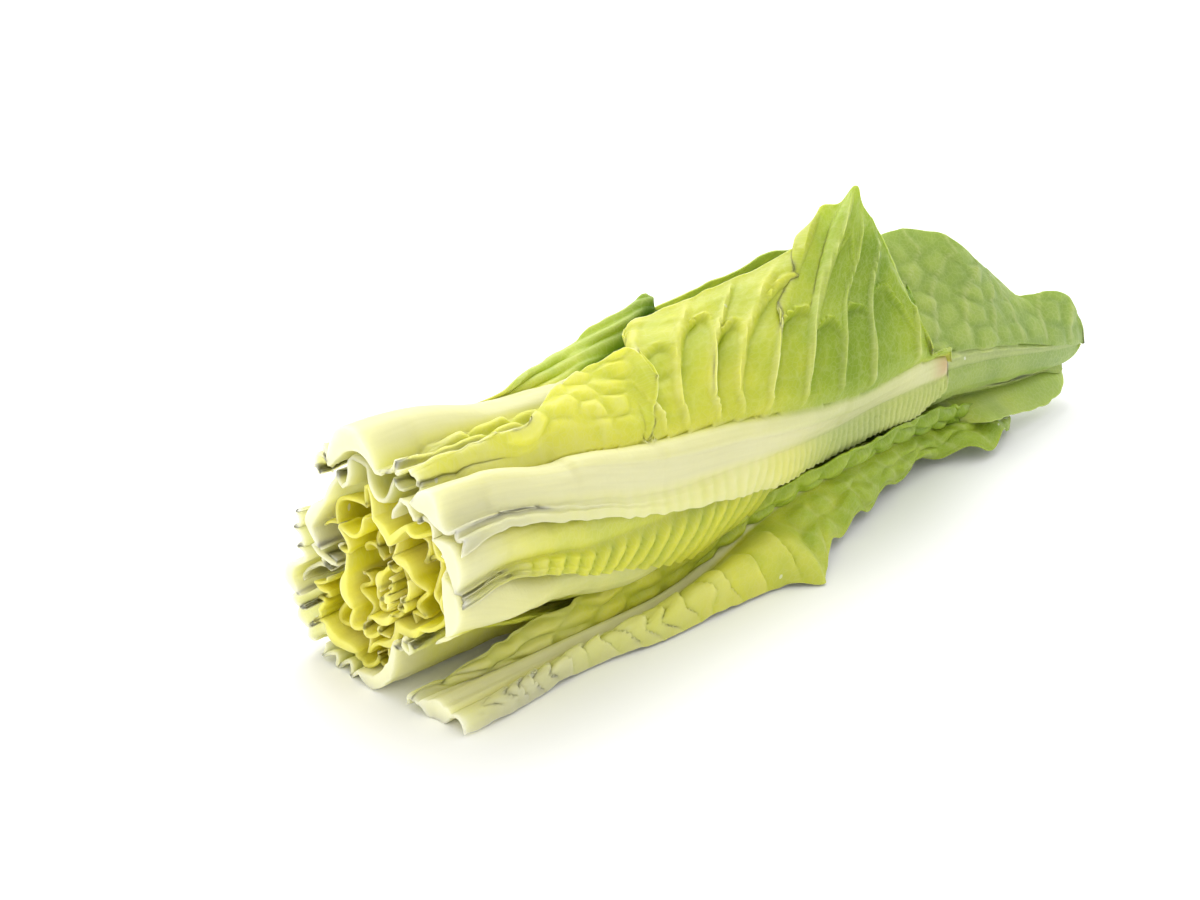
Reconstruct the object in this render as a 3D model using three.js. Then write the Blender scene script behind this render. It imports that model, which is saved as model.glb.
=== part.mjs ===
// Romaine heart, cut across above its core and lying on its side: sixteen loose leaves that nest
// round one another. Millimetres. +Y runs from the cut face to the tips, +Z is up, z = 0 is the table.
//
// A leaf is a sheet over (y, turn): y along the heart, turn round its middle line. The leaves are
// laid one on another from the bud outwards, each on a smooth envelope of what it covers, so they
// nest without touching. Some have a wing drawn out from that pile to a margin of its own. The
// outermost leaf has slipped off and lies along the table.
import * as THREE from "three";

// ---- driving dimensions. Pairs are [y, value] keys along the heart. ----
const BLADE = 0.7; // a blade's thickness
const BASE = 0.35; // how much thicker it is at the cut face
const BASE_LENGTH = 16; // over about this length
const ROOM = 0.6; // least room from one leaf to the next
const HOLLOW = [[0, 1.6], [120, 1.6], [200, 12], [232, 11], [280, 5]]; // the inmost hollow's radius
const LOOSE = [[0, 0.6], [40, 0.25], [84, 0]]; // more room on the upper left
const LOOSE_TURN = 150; // where that is most, in degrees
const STIFF = [[0, 2.2], [30, 3.4], [80, 4.5]]; // how far a leaf bridges what it lies on, round the heart
const BRIDGE_ROWS = 2; // and along it, in rows of the envelope
const CRINKLE_LENGTH = 26; // the crinkles at the cut face fade over about this length
const CALM = 0.1; // the share of them that stays
const MIDDLE = [
  [0, 24.4], [24, 25.4], [60, 27], [96, 30], [144, 29.6], [180, 26.8], [204, 23.8], [240, 18], [288, 10],
]; // the middle line's height over the table
const DRIFT = [[0, 0], [150, 0], [276, 3]]; // its way to the right
const LEAN = [[0, 1.08], [90, 1.05], [288, 1]]; // the pile's stretch towards up and right
const UPPER = [[0, 1.04], [24, 1.07], [44, 1.15], [70, 1.1], [120, 1]]; // its stretch above the middle line
const LOWER = [[0, 0.72], [60, 0.9], [120, 1]]; // below it, where the heart's weight rests
const LEFT_LOW = 0.9; // what LOWER is towards the left, at the cut
const RIGHT = [[0, 0.66], [30, 0.74], [50, 0.8], [110, 0.77], [140, 0.82], [165, 0.9], [200, 1]]; // and right

const CENTRE = [2, 128]; // where the part's origin stands: x and y of its middle, from the cut face's
const ROW_PITCH = 4; // the envelope's rows
const ROWS = 73; // enough for the longest leaf
const STEP_TURN = 2; // the envelope's columns, in degrees
const COLUMNS = 360 / STEP_TURN;
const GRID_Y = [0, 5, 12, 24, 36, 50, 66, 82, 100, 118, 136, 154, 170, 184, 197, 209]; // a leaf's own rows
const DEG = Math.PI / 180;

// A smooth curve through a few [position, value] keys, level before the first and after the last.
function through(keys, x) {
  if (x <= keys[0][0]) return keys[0][1];
  for (let k = 1; k < keys.length; k++) {
    if (x > keys[k][0]) continue;
    const slope = (a, b) => (keys[b][1] - keys[a][1]) / (keys[b][0] - keys[a][0]);
    const before = k > 1 ? slope(k - 2, k) : 0;
    const after = k < keys.length - 1 ? slope(k - 1, k + 1) : slope(k - 1, k);
    const span = keys[k][0] - keys[k - 1][0];
    const t = (x - keys[k - 1][0]) / span;
    const h = t * t * (3 - 2 * t);
    const bend = before * t * (1 - t) ** 2 - after * t * t * (1 - t);
    return keys[k - 1][1] * (1 - h) + keys[k][1] * h + bend * span;
  }
  return keys[keys.length - 1][1];
}

const clamp = (x, low, high) => Math.min(high, Math.max(low, x));

function ease(x) {
  const t = clamp(x, 0, 1);
  return t * t * (3 - 2 * t);
}

// ---- the leaves, from the bud outwards ----
// turn: where the rib stands round the heart, in degrees. 0 is +X and 90 is up.
// left and right: the blade's half widths, to the side of growing turn and the other.
// rib: [half width, thickness] at the cut face; ribHalf and depth are keys in place of its narrowing.
// slant: how far the rib is higher on its left than on its right.
// folds: the blade's crinkles at the cut face, to a side. crinkle: their height. frill: the margin's wave.
// stand: how far the blade beside the rib stands off what it covers. loose: more room under the leaf.
// wings: margins of the wings that are drawn out, from y = from on, with x, y and z as keys along
// the rib. bend curves the rows along y, sweep is their run near the rib, clear is room under them.
// swell: how far such a wing bulges outwards. lumps: the mean height of a blistered right wing.
const GREEN = 0x8fb53a;
const LIGHT_GREEN = 0xb4cf55;
const YELLOW_GREEN = 0xd3dc6c;
const YELLOW = 0xe6dd5a;

function heartLeaf(name, turn, end, base, widest, rib, folds, crinkle, colour) {
  const half = [[0, base], [end * 0.3, base], [end * 0.68, widest], [end * 0.9, widest * 0.72], [end, 2]];
  const shape = { end, round: 8, turn: [[0, turn]], left: half, right: half };
  return { name, loose: 0.1, ...shape, rib, folds, crinkle, frill: 0.6, colour };
}

const leaves = [
  heartLeaf("bud_leaf", 10, 60, 6, 7, [1.6, 0.9], 3, 0.8, YELLOW),
  heartLeaf("heart_leaf_1", 147, 84, 10, 11, [2.4, 0.9], 4, 1.3, YELLOW),
  heartLeaf("heart_leaf_2", 275, 108, 13, 14, [3.2, 1.1], 4, 1.8, YELLOW),
  heartLeaf("heart_leaf_3", 52, 128, 15, 18, [4, 1.4], 5, 2.1, YELLOW),
  heartLeaf("heart_leaf_4", 190, 148, 17, 23, [4.8, 1.6], 5, 2.4, YELLOW_GREEN),
  heartLeaf("heart_leaf_5", 300, 166, 17, 27, [5.4, 1.8], 5, 2.5, YELLOW_GREEN),
  heartLeaf("heart_leaf_6", 75, 182, 18, 31, [5.5, 2], 5, 2.6, YELLOW_GREEN),
  heartLeaf("heart_leaf_7", 232, 196, 19, 34, [6, 2.1], 6, 2.6, YELLOW_GREEN),
  {
    name: "side_leaf", loose: 0.8, end: 250, round: 12, rib: [8, 3.8], folds: 3, crinkle: 1.2, frill: 0.5,
    turn: [
      [0, 366], [12, 362], [30, 347], [49, 336], [70, 330], [110, 324], [180, 314], [215, 313], [250, 320],
    ],
    ribHalf: [[0, 6.3], [30, 5.6], [70, 4.2], [110, 3], [190, 1.5], [250, 0.5]],
    stand: [[0, 0], [12, 1.5], [30, 4], [49, 9], [70, 9.5], [90, 6], [115, 2], [140, 0]],
    left: [[0, 12], [16, 10.5], [60, 10], [100, 9], [150, 10], [190, 9], [230, 9], [250, 5]],
    right: [
      [0, 13], [16, 15], [38, 16], [60, 15], [80, 13], [110, 10], [150, 8], [190, 9], [205, 10], [230, 9],
      [250, 5],
    ],
    wings: [
      {
        side: 1, from: 184, blend: 16,
        x: [[184, 14], [205, 9], [215, 6], [230, 7], [243, 12], [250, 15]],
        z: [[184, 22], [205, 20], [215, 18.5], [230, 15], [243, 9], [250, 5]],
      },
      {
        side: -1, from: 184, blend: 16,
        x: [[184, 21], [205, 21], [215, 19], [230, 19], [243, 17.5], [250, 16]],
        z: [[184, 12], [205, 9], [215, 6.5], [230, 4.5], [243, 4.5], [250, 5]],
      },
    ],
    rows: [0, 5, 12, 24, 36, 50, 66, 82, 100, 120, 140, 160, 176, 190, 205, 216, 230, 242, 250],
    colour: LIGHT_GREEN,
  },
  {
    name: "tip_leaf", end: 256, round: 6, rib: [7.2, 3.2], folds: 4,
    crinkle: 1.8, rightCrinkle: 0.4, frill: 1,
    turn: [[0, 22], [110, 8], [200, 10], [256, -4]],
    ribHalf: [[0, 7.2], [120, 4], [180, 2.6], [215, 1.7], [240, 0.9], [256, 0.5]],
    stand: [[0, 0], [60, 0], [80, 2], [98, 4], [120, 2], [140, 0]],
    left: [
      [0, 18], [80, 28], [135, 28], [160, 17], [184, 12], [192, 30], [200, 40], [216, 30], [226, 20],
      [231, 15], [235, 19], [246, 18], [256, 11],
    ],
    right: [
      [0, 10], [14, 8], [30, 10], [55, 14.5], [76, 16.5], [98, 17], [140, 16], [176, 12], [196, 9.5],
      [222, 9], [244, 6], [256, 2],
    ],
    wings: [
      {
        side: 1, from: 184, blend: 8,
        x: [[180, -6], [200, -2], [207, 2], [228, 3], [231, 6], [241, 10], [249, 12], [256, 13]],
        z: [[180, 61], [200, 58], [207, 53], [228, 37], [231, 33], [241, 33], [249, 30], [256, 23]],
      },
    ],
    rows: [
      0, 5, 12, 24, 36, 50, 66, 82, 100, 120, 140, 160, 175, 184, 192, 200, 208, 218, 228, 231, 236, 243,
      250, 256,
    ],
    colour: LIGHT_GREEN,
  },
  {
    name: "back_leaf", end: 232, round: 12, rib: [5.5, 1.9], folds: 6, crinkle: 2.8, frill: 1,
    turn: [[0, 150], [238, 122]],
    left: [[0, 17], [70, 24], [150, 36], [205, 30], [238, 3]],
    right: [[0, 17], [70, 26], [150, 30], [180, 15], [220, 10], [238, 3]],
    colour: GREEN,
  },
  {
    name: "under_leaf", loose: 0.5, end: 232, round: 16, rib: [8, 3.8], folds: 6, crinkle: 2.4, frill: 0.6,
    turn: [[0, 276], [60, 268], [232, 268]],
    depth: [[0, 0.9], [35, 1.6], [110, 1.6], [180, 1.4], [232, 0.3]],
    left: [[0, 17], [30, 13], [70, 12], [150, 14], [180, 12], [232, 3]],
    right: [[0, 19], [70, 24], [150, 34], [196, 24], [232, 4]],
    colour: LIGHT_GREEN,
  },
  {
    name: "left_leaf", loose: 0.15, end: 232, round: 12, rib: [6, 2.2], folds: 7, crinkle: 2.8, frill: 1,
    turn: [[0, 186], [232, 172]],
    left: [[0, 19], [70, 28], [150, 40], [205, 32], [232, 3]],
    right: [
      [0, 18], [40, 22], [70, 27], [84, 27], [94, 36], [110, 44], [140, 46], [160, 38], [190, 28], [232, 3],
    ],
    wings: [
      {
        side: -1, from: 84, blend: 16,
        x: [[84, -16], [100, -13], [110, -8.5], [125, -6], [140, -3.5], [160, -6], [200, -10], [232, -10]],
        z: [[84, 55], [100, 60], [110, 63], [125, 66], [140, 68], [160, 62], [200, 50], [232, 40]],
      },
    ],
    rows: [0, 5, 12, 24, 36, 50, 66, 82, 91, 100, 110, 124, 138, 152, 168, 184, 198, 210, 219, 226, 232],
    colour: GREEN,
  },
  {
    name: "top_leaf", loose: 0.5, end: 182, round: 8, rib: [10.8, 4.4], folds: 5,
    crinkle: 2.2, rightCrinkle: 0.4, frill: 1,
    turn: [[0, 108], [40, 104], [90, 90], [182, 88]],
    ribHalf: [[0, 8.5], [27, 8], [43, 6.5], [58, 4.5], [75, 2.5], [182, 1.5]],
    slant: [[0, 0.2], [60, 0]],
    left: [[0, 15], [40, 13], [60, 15], [80, 19], [94, 22], [98, 23], [101, 18], [104, 8], [182, 3]],
    right: [[0, 19], [45, 21], [80, 26], [140, 26], [170, 18], [182, 3]],
    wings: [
      {
        side: 1, from: 36, blend: 10,
        x: [[36, -5], [45, -8], [70, -15.6], [90, -14.5], [98, -13], [104, -8], [182, -6]],
        z: [[36, 54], [45, 55.5], [70, 56.5], [90, 61], [98, 63], [104, 57], [182, 40]],
      },
    ],
    lumps: 1.1,
    rows: [0, 5, 12, 24, 36, 48, 60, 72, 84, 98, 104, 120, 140, 160, 179, 182],
    colour: YELLOW_GREEN,
  },
  {
    name: "front_leaf", end: 182, round: 0, rib: [11.4, 4.6], folds: 4,
    crinkle: 1.1, rightCrinkle: 0.5, frill: 0.9,
    turn: [[0, 46], [32, 34.5], [70, 21], [112, 7], [140, 1], [155, 5], [172, 10], [182, 12]],
    ribHalf: [[0, 6.8], [40, 6], [75, 5.6], [110, 4.7], [145, 4.3], [176, 3.6], [182, 3.2]],
    depth: [[0, 1], [60, 0.85], [120, 0.55], [182, 0.35]],
    slant: [[0, 0.8], [60, 0.6], [182, 0.3]],
    left: [
      [0, 13], [16, 15], [28, 17], [34, 20], [40, 24], [48, 31], [56, 35], [60, 33], [61.2, 22], [62.4, 24],
      [64, 36], [72, 42], [86, 50], [95, 59], [98, 58], [102, 66], [113, 70], [126, 60], [138, 50],
      [150, 37], [160, 22], [166, 8], [169, 5.4], [182, 4],
    ],
    right: [
      [0, 12.5], [14, 10], [30, 9.5], [45, 9.5], [72, 10.3], [113, 12.8], [140, 11.5], [155, 12], [170, 11],
      [182, 7],
    ],
    wings: [
      {
        side: 1, from: 14, blend: 14, bend: 1.25, clear: 3, sweep: [[0, 0], [30, 6], [50, 12], [64, 16]],
        x: [
          [14, 7], [28, 11.5], [34, 9], [40, 6], [48, 4.5], [56, 4.5], [60, 6], [61.2, 14], [62.4, 11],
          [64, -5], [72, -3], [86, -2], [95, 0.5], [98, 0], [102, -2.5], [110, -1], [113, -0.5], [126, 2.5],
          [138, 6], [150, 11], [160, 17], [166, 21.2], [170, 22], [182, 22.8],
        ],
        y: [
          [14, 16], [28, 30], [34, 38], [40, 47], [48, 56], [56, 67], [60, 73], [61.2, 71], [62.4, 73],
          [64, 80], [72, 97], [86, 118], [95, 137], [98, 144], [102, 149], [110, 156], [113, 160],
          [126, 161], [138, 162], [150, 163], [160, 165], [166, 168], [170, 171], [182, 182],
        ],
        z: [
          [14, 57], [28, 56.5], [34, 57.5], [40, 58.5], [48, 60], [56, 61.5], [60, 61.5], [61.2, 58],
          [62.4, 59], [64, 60.5], [72, 64], [86, 66], [95, 69.5], [98, 70.5], [102, 76], [110, 76.5],
          [113, 80], [126, 76], [138, 70], [150, 62], [160, 49], [166, 39], [170, 37], [182, 35.5],
        ],
      },
    ],
    swell: 1.6,
    rows: [
      0, 5, 12, 20, 28, 34, 40, 48, 56, 60, 61.2, 62.4, 64, 72, 80, 88, 95, 98, 102, 106, 110, 113, 119,
      126, 138, 150, 160, 166, 172, 182,
    ],
    colour: LIGHT_GREEN,
  },
];

// ---- the envelope: how far the pile reaches at each row and turn ----
const field = () => new Float64Array(ROWS * COLUMNS);
const mean = (list) => list.reduce((a, b) => a + b, 0) / list.length;

// Each cell becomes what pick makes of its neighbours within reach cells, along one axis.
function sweep(grid, reachOf, along, pick) {
  const out = field();
  for (let row = 0; row < ROWS; row++) {
    const reach = reachOf(row);
    for (let column = 0; column < COLUMNS; column++) {
      const near = [];
      for (let k = -reach; k <= reach; k++) {
        const r = along === "y" ? clamp(row + k, 0, ROWS - 1) : row;
        const c = along === "turn" ? (column + k + COLUMNS) % COLUMNS : column;
        near.push(grid[r * COLUMNS + c]);
      }
      out[row * COLUMNS + column] = pick(near);
    }
  }
  return out;
}
const largest = (list) => Math.max(...list);

function read(grid, y, turn) {
  const row = clamp(y / ROW_PITCH, 0, ROWS - 1.001);
  const column = (((turn / STEP_TURN) % COLUMNS) + COLUMNS) % COLUMNS;
  const [r, c] = [Math.floor(row), Math.floor(column) % COLUMNS];
  const [fr, fc] = [row - r, column - Math.floor(column)];
  const at = (a) => grid[a * COLUMNS + c] * (1 - fc) + grid[a * COLUMNS + ((c + 1) % COLUMNS)] * fc;
  return at(r) * (1 - fr) + at(r + 1) * fr;
}

const roomAt = (leaf, y, turn) =>
  ROOM + (leaf.loose ?? 0) + through(LOOSE, y) * (0.5 + 0.5 * Math.cos((turn - LOOSE_TURN) * DEG));

// What a leaf lies on: the pile's reach, widened and then evened out over the same window, which
// never comes out lower than the pile itself.
function supportFor(pile) {
  const long = sweep(sweep(pile, () => BRIDGE_ROWS, "y", largest), () => BRIDGE_ROWS, "y", mean);
  const around = (row) => {
    const radius = Math.max(3, mean(Array.from(long.subarray(row * COLUMNS, (row + 1) * COLUMNS))));
    return clamp(Math.round(through(STIFF, row * ROW_PITCH) / (radius * STEP_TURN * DEG)), 2, COLUMNS / 4);
  };
  return sweep(sweep(long, around, "turn", largest), around, "turn", mean);
}

// The blade's half width on the side of across, with a rounded end.
function halfAt(leaf, y, across) {
  const tip = leaf.round ? clamp((y - leaf.end + leaf.round) / (1.02 * leaf.round), 0, 1) : 0;
  return Math.max(0.25, through(across > 0 ? leaf.left : leaf.right, y) * Math.sqrt(1 - tip ** 2));
}

const narrowing = (leaf, y) => 1 - 0.78 * ease((1.05 * y) / leaf.end);

function ribAt(leaf, y, half) {
  return Math.min(leaf.ribHalf ? through(leaf.ribHalf, y) : leaf.rib[0] * narrowing(leaf, y), half * 0.6);
}

// How a leaf stands off its support: crinkles at the cut face that fade along y, and a waved margin.
function standOff(leaf, y, across) {
  const half = halfAt(leaf, y, across);
  const rib = ribAt(leaf, y, half);
  const share = clamp((Math.abs(across) - rib) / (half - rib), 0, 1.1);
  const fade = CALM + (1 - CALM) * Math.exp(-((y / CRINKLE_LENGTH) ** 1.3));
  const fold = Math.sin((Math.PI / 2) * leaf.folds * share) ** 2;
  const side = across < 0 ? (leaf.rightCrinkle ?? 1) : 1;
  let height = 1.5 * leaf.crinkle * side * fade * fold + 0.5 * leaf.frill * share ** 2;
  if (leaf.stand) height += through(leaf.stand, y) * (1 - (across > 0 ? 1 : 0.7) * Math.min(share, 1));
  if (leaf.lumps && across < 0) height += leaf.lumps * ease(share * 6) * ease((y - 8) / 16);
  return height;
}

function thickness(leaf, y, across) {
  const rib = ribAt(leaf, y, halfAt(leaf, y, across));
  const depth = leaf.depth ? through(leaf.depth, y) : narrowing(leaf, y) * ease((leaf.end - y) / 60);
  const slant = leaf.slant ? through(leaf.slant, y) * (across / rib) : 0;
  const profile = Math.max(0, 1 - Math.abs(across / rib) ** 2.3) * (1 + slant);
  return BLADE + BASE * Math.exp(-y / BASE_LENGTH) + leaf.rib[1] * depth * profile;
}

const ribTurn = (leaf, y) => through(leaf.turn, y);
const radiusAt = (leaf, y) =>
  Math.max(4.5, read(leaf.support, y, ribTurn(leaf, y)) + roomAt(leaf, y, ribTurn(leaf, y)));

// Where a leaf's inner face lies, as turn and reach. The chords between a grid's columns would sag
// into what it covers, so it is sprung off that a little.
function lie(leaf, y, across) {
  const radius = radiusAt(leaf, y);
  const turn = ribTurn(leaf, y) + across / radius / DEG;
  const half = halfAt(leaf, y, across);
  const chord = Math.max((half * 0.5) / leaf.folds, 0.5 * ribAt(leaf, y, half));
  const spring = 1 / Math.cos(Math.min(0.3, chord / radius));
  const lying = (read(leaf.support, y, turn) + roomAt(leaf, y, turn)) * spring;
  return [turn, lying + standOff(leaf, y, across)];
}

let pile = field().map((_, cell) => through(HOLLOW, Math.floor(cell / COLUMNS) * ROW_PITCH));
for (const leaf of leaves) {
  leaf.support = supportFor(pile);
  const next = Float64Array.from(pile);
  for (let row = 0; row < ROWS; row++) {
    const y = row * ROW_PITCH;
    if (y > leaf.end + ROW_PITCH) continue;
    const radius = radiusAt(leaf, y);
    for (let column = 0; column < COLUMNS; column++) {
      const away = ((((column * STEP_TURN - ribTurn(leaf, y) + 180) % 360) + 360) % 360) - 180;
      const across = away * DEG * radius;
      if (Math.abs(across) > halfAt(leaf, y, across) + STEP_TURN * DEG * radius) continue;
      const outer = lie(leaf, y, across)[1] + thickness(leaf, y, across);
      next[row * COLUMNS + column] = Math.max(next[row * COLUMNS + column], outer);
    }
  }
  pile = next;
}

// ---- places ----
// A point from its turn and reach: the cross-section is drawn out along the diagonal that runs up
// and to the right, its sides are stretched, and its middle stands at MIDDLE over the table.
function placed(y, turn, reach) {
  const [x, z] = [reach * Math.cos(turn * DEG), reach * Math.sin(turn * DEG)];
  const up = ((x + z) / 2) * through(LEAN, y);
  const side = (z - x) / 2 / through(LEAN, y);
  const [right, high] = [up - side, up + side];
  const corner = clamp(-right / Math.max(reach, 1), 0, 1) ** 0.7;
  const lower = through(LOWER, y);
  const low = lower + (LEFT_LOW - lower) * corner * Math.exp(-y / 60);
  return [
    through(DRIFT, y) + right * (right > 0 ? through(RIGHT, y) : 1),
    y,
    through(MIDDLE, y) + high * (high > 0 ? through(UPPER, y) : low),
  ];
}

// The same backwards: turn and reach from a point.
function unplaced([px, y, pz]) {
  let [x, z] = [px - through(DRIFT, y), pz - through(MIDDLE, y)];
  if (x > 0) x /= through(RIGHT, y);
  z /= through(z > 0 ? UPPER : LOWER, y);
  const up = (x + z) / 2 / through(LEAN, y);
  const side = ((z - x) / 2) * through(LEAN, y);
  return [Math.atan2(up + side, up - side) / DEG, Math.hypot(up - side, up + side)];
}

const mixed = (a, b, share) => a.map((value, k) => value + (b[k] - value) * share);

// A point of the inner face, and how far it is drawn out. A drawn wing goes straight from the
// rib's edge to its margin, and never under what lies there.
function innerPoint(leaf, y, across) {
  const [turn, reach] = lie(leaf, y, across);
  const lying = placed(y, turn, reach);
  for (const wing of leaf.wings ?? []) {
    const edge = wing.side * ribAt(leaf, y, halfAt(leaf, y, wing.side));
    if (wing.side * across <= Math.abs(edge)) continue;
    const part = ease((y - wing.from) / wing.blend);
    const full = wing.side * through(wing.side > 0 ? leaf.left : leaf.right, y);
    const out = clamp((across - edge) / (full - edge), 0, 1.2);
    const foot = placed(y, ...lie(leaf, y, edge));
    const margin = [through(wing.x, y), wing.y ? through(wing.y, y) : y, through(wing.z, y)];
    const drawn = mixed(foot, margin, out);
    drawn[1] = foot[1] + (margin[1] - foot[1]) * out ** (wing.bend ?? 1);
    const [freeTurn, freeReach] = unplaced(drawn);
    const lowest = read(leaf.support, drawn[1], freeTurn) + ROOM + (wing.clear ?? 0) * out * (1 - out);
    const free = placed(drawn[1], freeTurn, Math.max(freeReach, lowest));
    const bulge = (leaf.swell ?? 0) * Math.sin(Math.PI * Math.min(1, out));
    free[0] += bulge * Math.cos(45 * DEG);
    free[2] += bulge * Math.sin(45 * DEG);
    const near = y + (wing.sweep ? through(wing.sweep, y) * out : 0);
    const covered = read(leaf.support, near, turn) - read(leaf.support, y, turn);
    return [mixed(placed(near, turn, reach + covered), free, part), part];
  }
  return [lying, 0];
}

// ---- meshes ----
// A closed sheet from a grid of inner and outer points, split into triangles alike on both faces.
function sheet(inner, outer) {
  const count = inner.length;
  const columns = inner[0].length;
  const positions = [...inner.flat(), ...outer.flat()].flat();
  const at = (face, r, c) => face * count * columns + r * columns + c;
  const index = [];
  const quad = (a, b, c, d) => index.push(a, b, c, a, c, d);
  const backQuad = (a, b, c, d) => index.push(a, c, b, a, d, c);
  for (let r = 0; r + 1 < count; r++) {
    for (let c = 0; c + 1 < columns; c++) {
      quad(at(1, r, c), at(1, r, c + 1), at(1, r + 1, c + 1), at(1, r + 1, c));
      backQuad(at(0, r, c), at(0, r, c + 1), at(0, r + 1, c + 1), at(0, r + 1, c));
    }
    quad(at(0, r, 0), at(1, r, 0), at(1, r + 1, 0), at(0, r + 1, 0));
    quad(at(1, r, columns - 1), at(0, r, columns - 1), at(0, r + 1, columns - 1), at(1, r + 1, columns - 1));
  }
  for (let c = 0; c + 1 < columns; c++) {
    quad(at(0, 0, c), at(0, 0, c + 1), at(1, 0, c + 1), at(1, 0, c));
    quad(at(1, count - 1, c), at(1, count - 1, c + 1), at(0, count - 1, c + 1), at(0, count - 1, c));
  }
  const geometry = new THREE.BufferGeometry();
  geometry.setAttribute("position", new THREE.Float32BufferAttribute(positions, 3));
  geometry.setIndex(index);
  return geometry;
}

// The rows of a leaf's grid: its own or the shared ones, and its rounded tip.
const rowsOf = (leaf) =>
  leaf.rows ?? [...GRID_Y.filter((y) => y < leaf.end - leaf.round - 2), leaf.end - leaf.round / 2, leaf.end];

// The columns: two on top of the rib, one at each of its edges, and the blade's to both sides.
function columnsOf(leaf, y) {
  const line = [];
  for (const side of [1, -1]) {
    const half = halfAt(leaf, y, side);
    const rib = ribAt(leaf, y, half);
    const list = [0.5 * rib];
    for (let k = 0; k <= leaf.folds; k++) list.push(rib + ((half - rib) * k) / leaf.folds);
    if (side > 0) line.push(...list.reverse());
    else line.push(...list.map((t) => -t));
  }
  return line;
}

// The outward unit normal at one point of a grid, from its neighbours.
function normalAt(grid, r, c) {
  const between = (a, b) => new THREE.Vector3(...a).sub(new THREE.Vector3(...b));
  const last = grid[0].length - 1;
  const across = between(grid[r][Math.min(c + 1, last)], grid[r][Math.max(c - 1, 0)]);
  const along = between(grid[Math.min(r + 1, grid.length - 1)][c], grid[Math.max(r - 1, 0)][c]);
  return across.cross(along).normalize().toArray();
}

// A blade is as thick as it should be straight off the middle line, or square to a drawn wing. Where
// the heart rests on the table, its underside is flat.
function leafGeometry(leaf) {
  const places = rowsOf(leaf).map((y) => columnsOf(leaf, y).map((t) => innerPoint(leaf, y, t)));
  const inner = places.map((row) => row.map(([point]) => point));
  const outer = rowsOf(leaf).map((y, r) =>
    columnsOf(leaf, y).map((t, c) => {
      const thick = thickness(leaf, y, t);
      const [turn, reach] = lie(leaf, y, t);
      const [base, off] = [placed(y, turn, reach), placed(y, turn, reach + thick)];
      const straight = off.map((value, k) => inner[r][c][k] + value - base[k]);
      const normal = normalAt(inner, r, c).map((value, k) => inner[r][c][k] + value * thick);
      return mixed(straight, normal, places[r][c][1]);
    }),
  );
  for (const row of inner) for (const point of row) point[2] = Math.max(point[2], BLADE);
  for (const row of outer) for (const point of row) point[2] = Math.max(point[2], 0);
  return sheet(inner, outer);
}

// ---- the leaf that slipped off ----
// Its rib lies flat on the table; its near half rolls over beside it, with a torn corner, and its
// far half climbs the heart. near and far: the margins' x and z. roll: how far the near half bulges.
const floorLeaf = {
  name: "floor_leaf", end: 218, round: 0, rib: [6, 4], folds: 5, colour: LIGHT_GREEN,
  ribHalf: [[0, 4.4], [30, 3], [60, 2.4], [110, 1.4], [218, 0.6]],
  depth: [[0, 1], [60, 0.95], [110, 0.45], [218, 0.1]],
  ribX: [[0, 15], [35, 16], [60, 17], [85, 16.5], [110, 15.5], [140, 16], [170, 14], [200, 12], [218, 14]],
  ribZ: [[0, 0.35], [66, 0.35], [84, 3], [105, 9], [130, 12], [160, 11.5], [190, 8], [210, 5], [218, 2]],
  nearX: [
    [0, 24.2], [11, 25], [25, 24], [42, 24], [57, 27], [77, 28.5], [98, 30.5], [104, 35], [107, 37.2],
    [109, 35.5], [115, 31.5], [121, 28.5], [137, 24], [145, 22], [161, 18], [178, 16], [184, 18], [195, 24],
    [205, 22], [218, 17],
  ],
  nearZ: [
    [0, 0.6], [100, 0.8], [107, 0.4], [114, 2], [121, 4], [128, 1.5], [136, 4.5], [144, 2], [153, 5],
    [163, 2.5], [172, 5], [182, 2.5], [190, 5], [197, 2], [205, 5], [212, 2], [218, 1.5],
  ],
  farX: [[0, 7], [20, 10], [60, 13], [85, 15], [110, 18], [140, 19], [180, 16.5], [200, 15], [218, 12]],
  farZ: [[0, 1], [20, 7], [60, 12.5], [85, 15], [110, 18], [140, 19.5], [180, 16.5], [200, 8], [218, 3]],
  roll: [
    [0, 2], [35, 3], [60, 4], [80, 6], [98, 6.5], [106, 4], [112, 1], [150, 1.5], [190, 1.6], [218, 0.8],
  ],
  left: [[0, 10], [30, 13], [85, 14], [110, 10], [160, 8], [200, 9], [218, 4]],
  right: [
    [0, 14], [40, 16], [80, 24], [100, 27], [106, 32], [110, 31], [118, 25], [130, 20], [160, 15], [184, 16],
    [204, 18], [214, 14], [218, 9],
  ],
  rows: [
    0, 8, 16, 26, 36, 46, 58, 66, 74, 82, 90, 98, 104, 107, 110, 115, 121, 128, 136, 144, 153, 163, 172,
    182, 190, 197, 205, 212, 218,
  ],
};
const RELIEF = 1.5; // the scales' and lumps' mean height
const CURL = 0.55; // how far the rib's edges curl up, as a share of its half width
const FAR_BULGE = 1;

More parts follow.
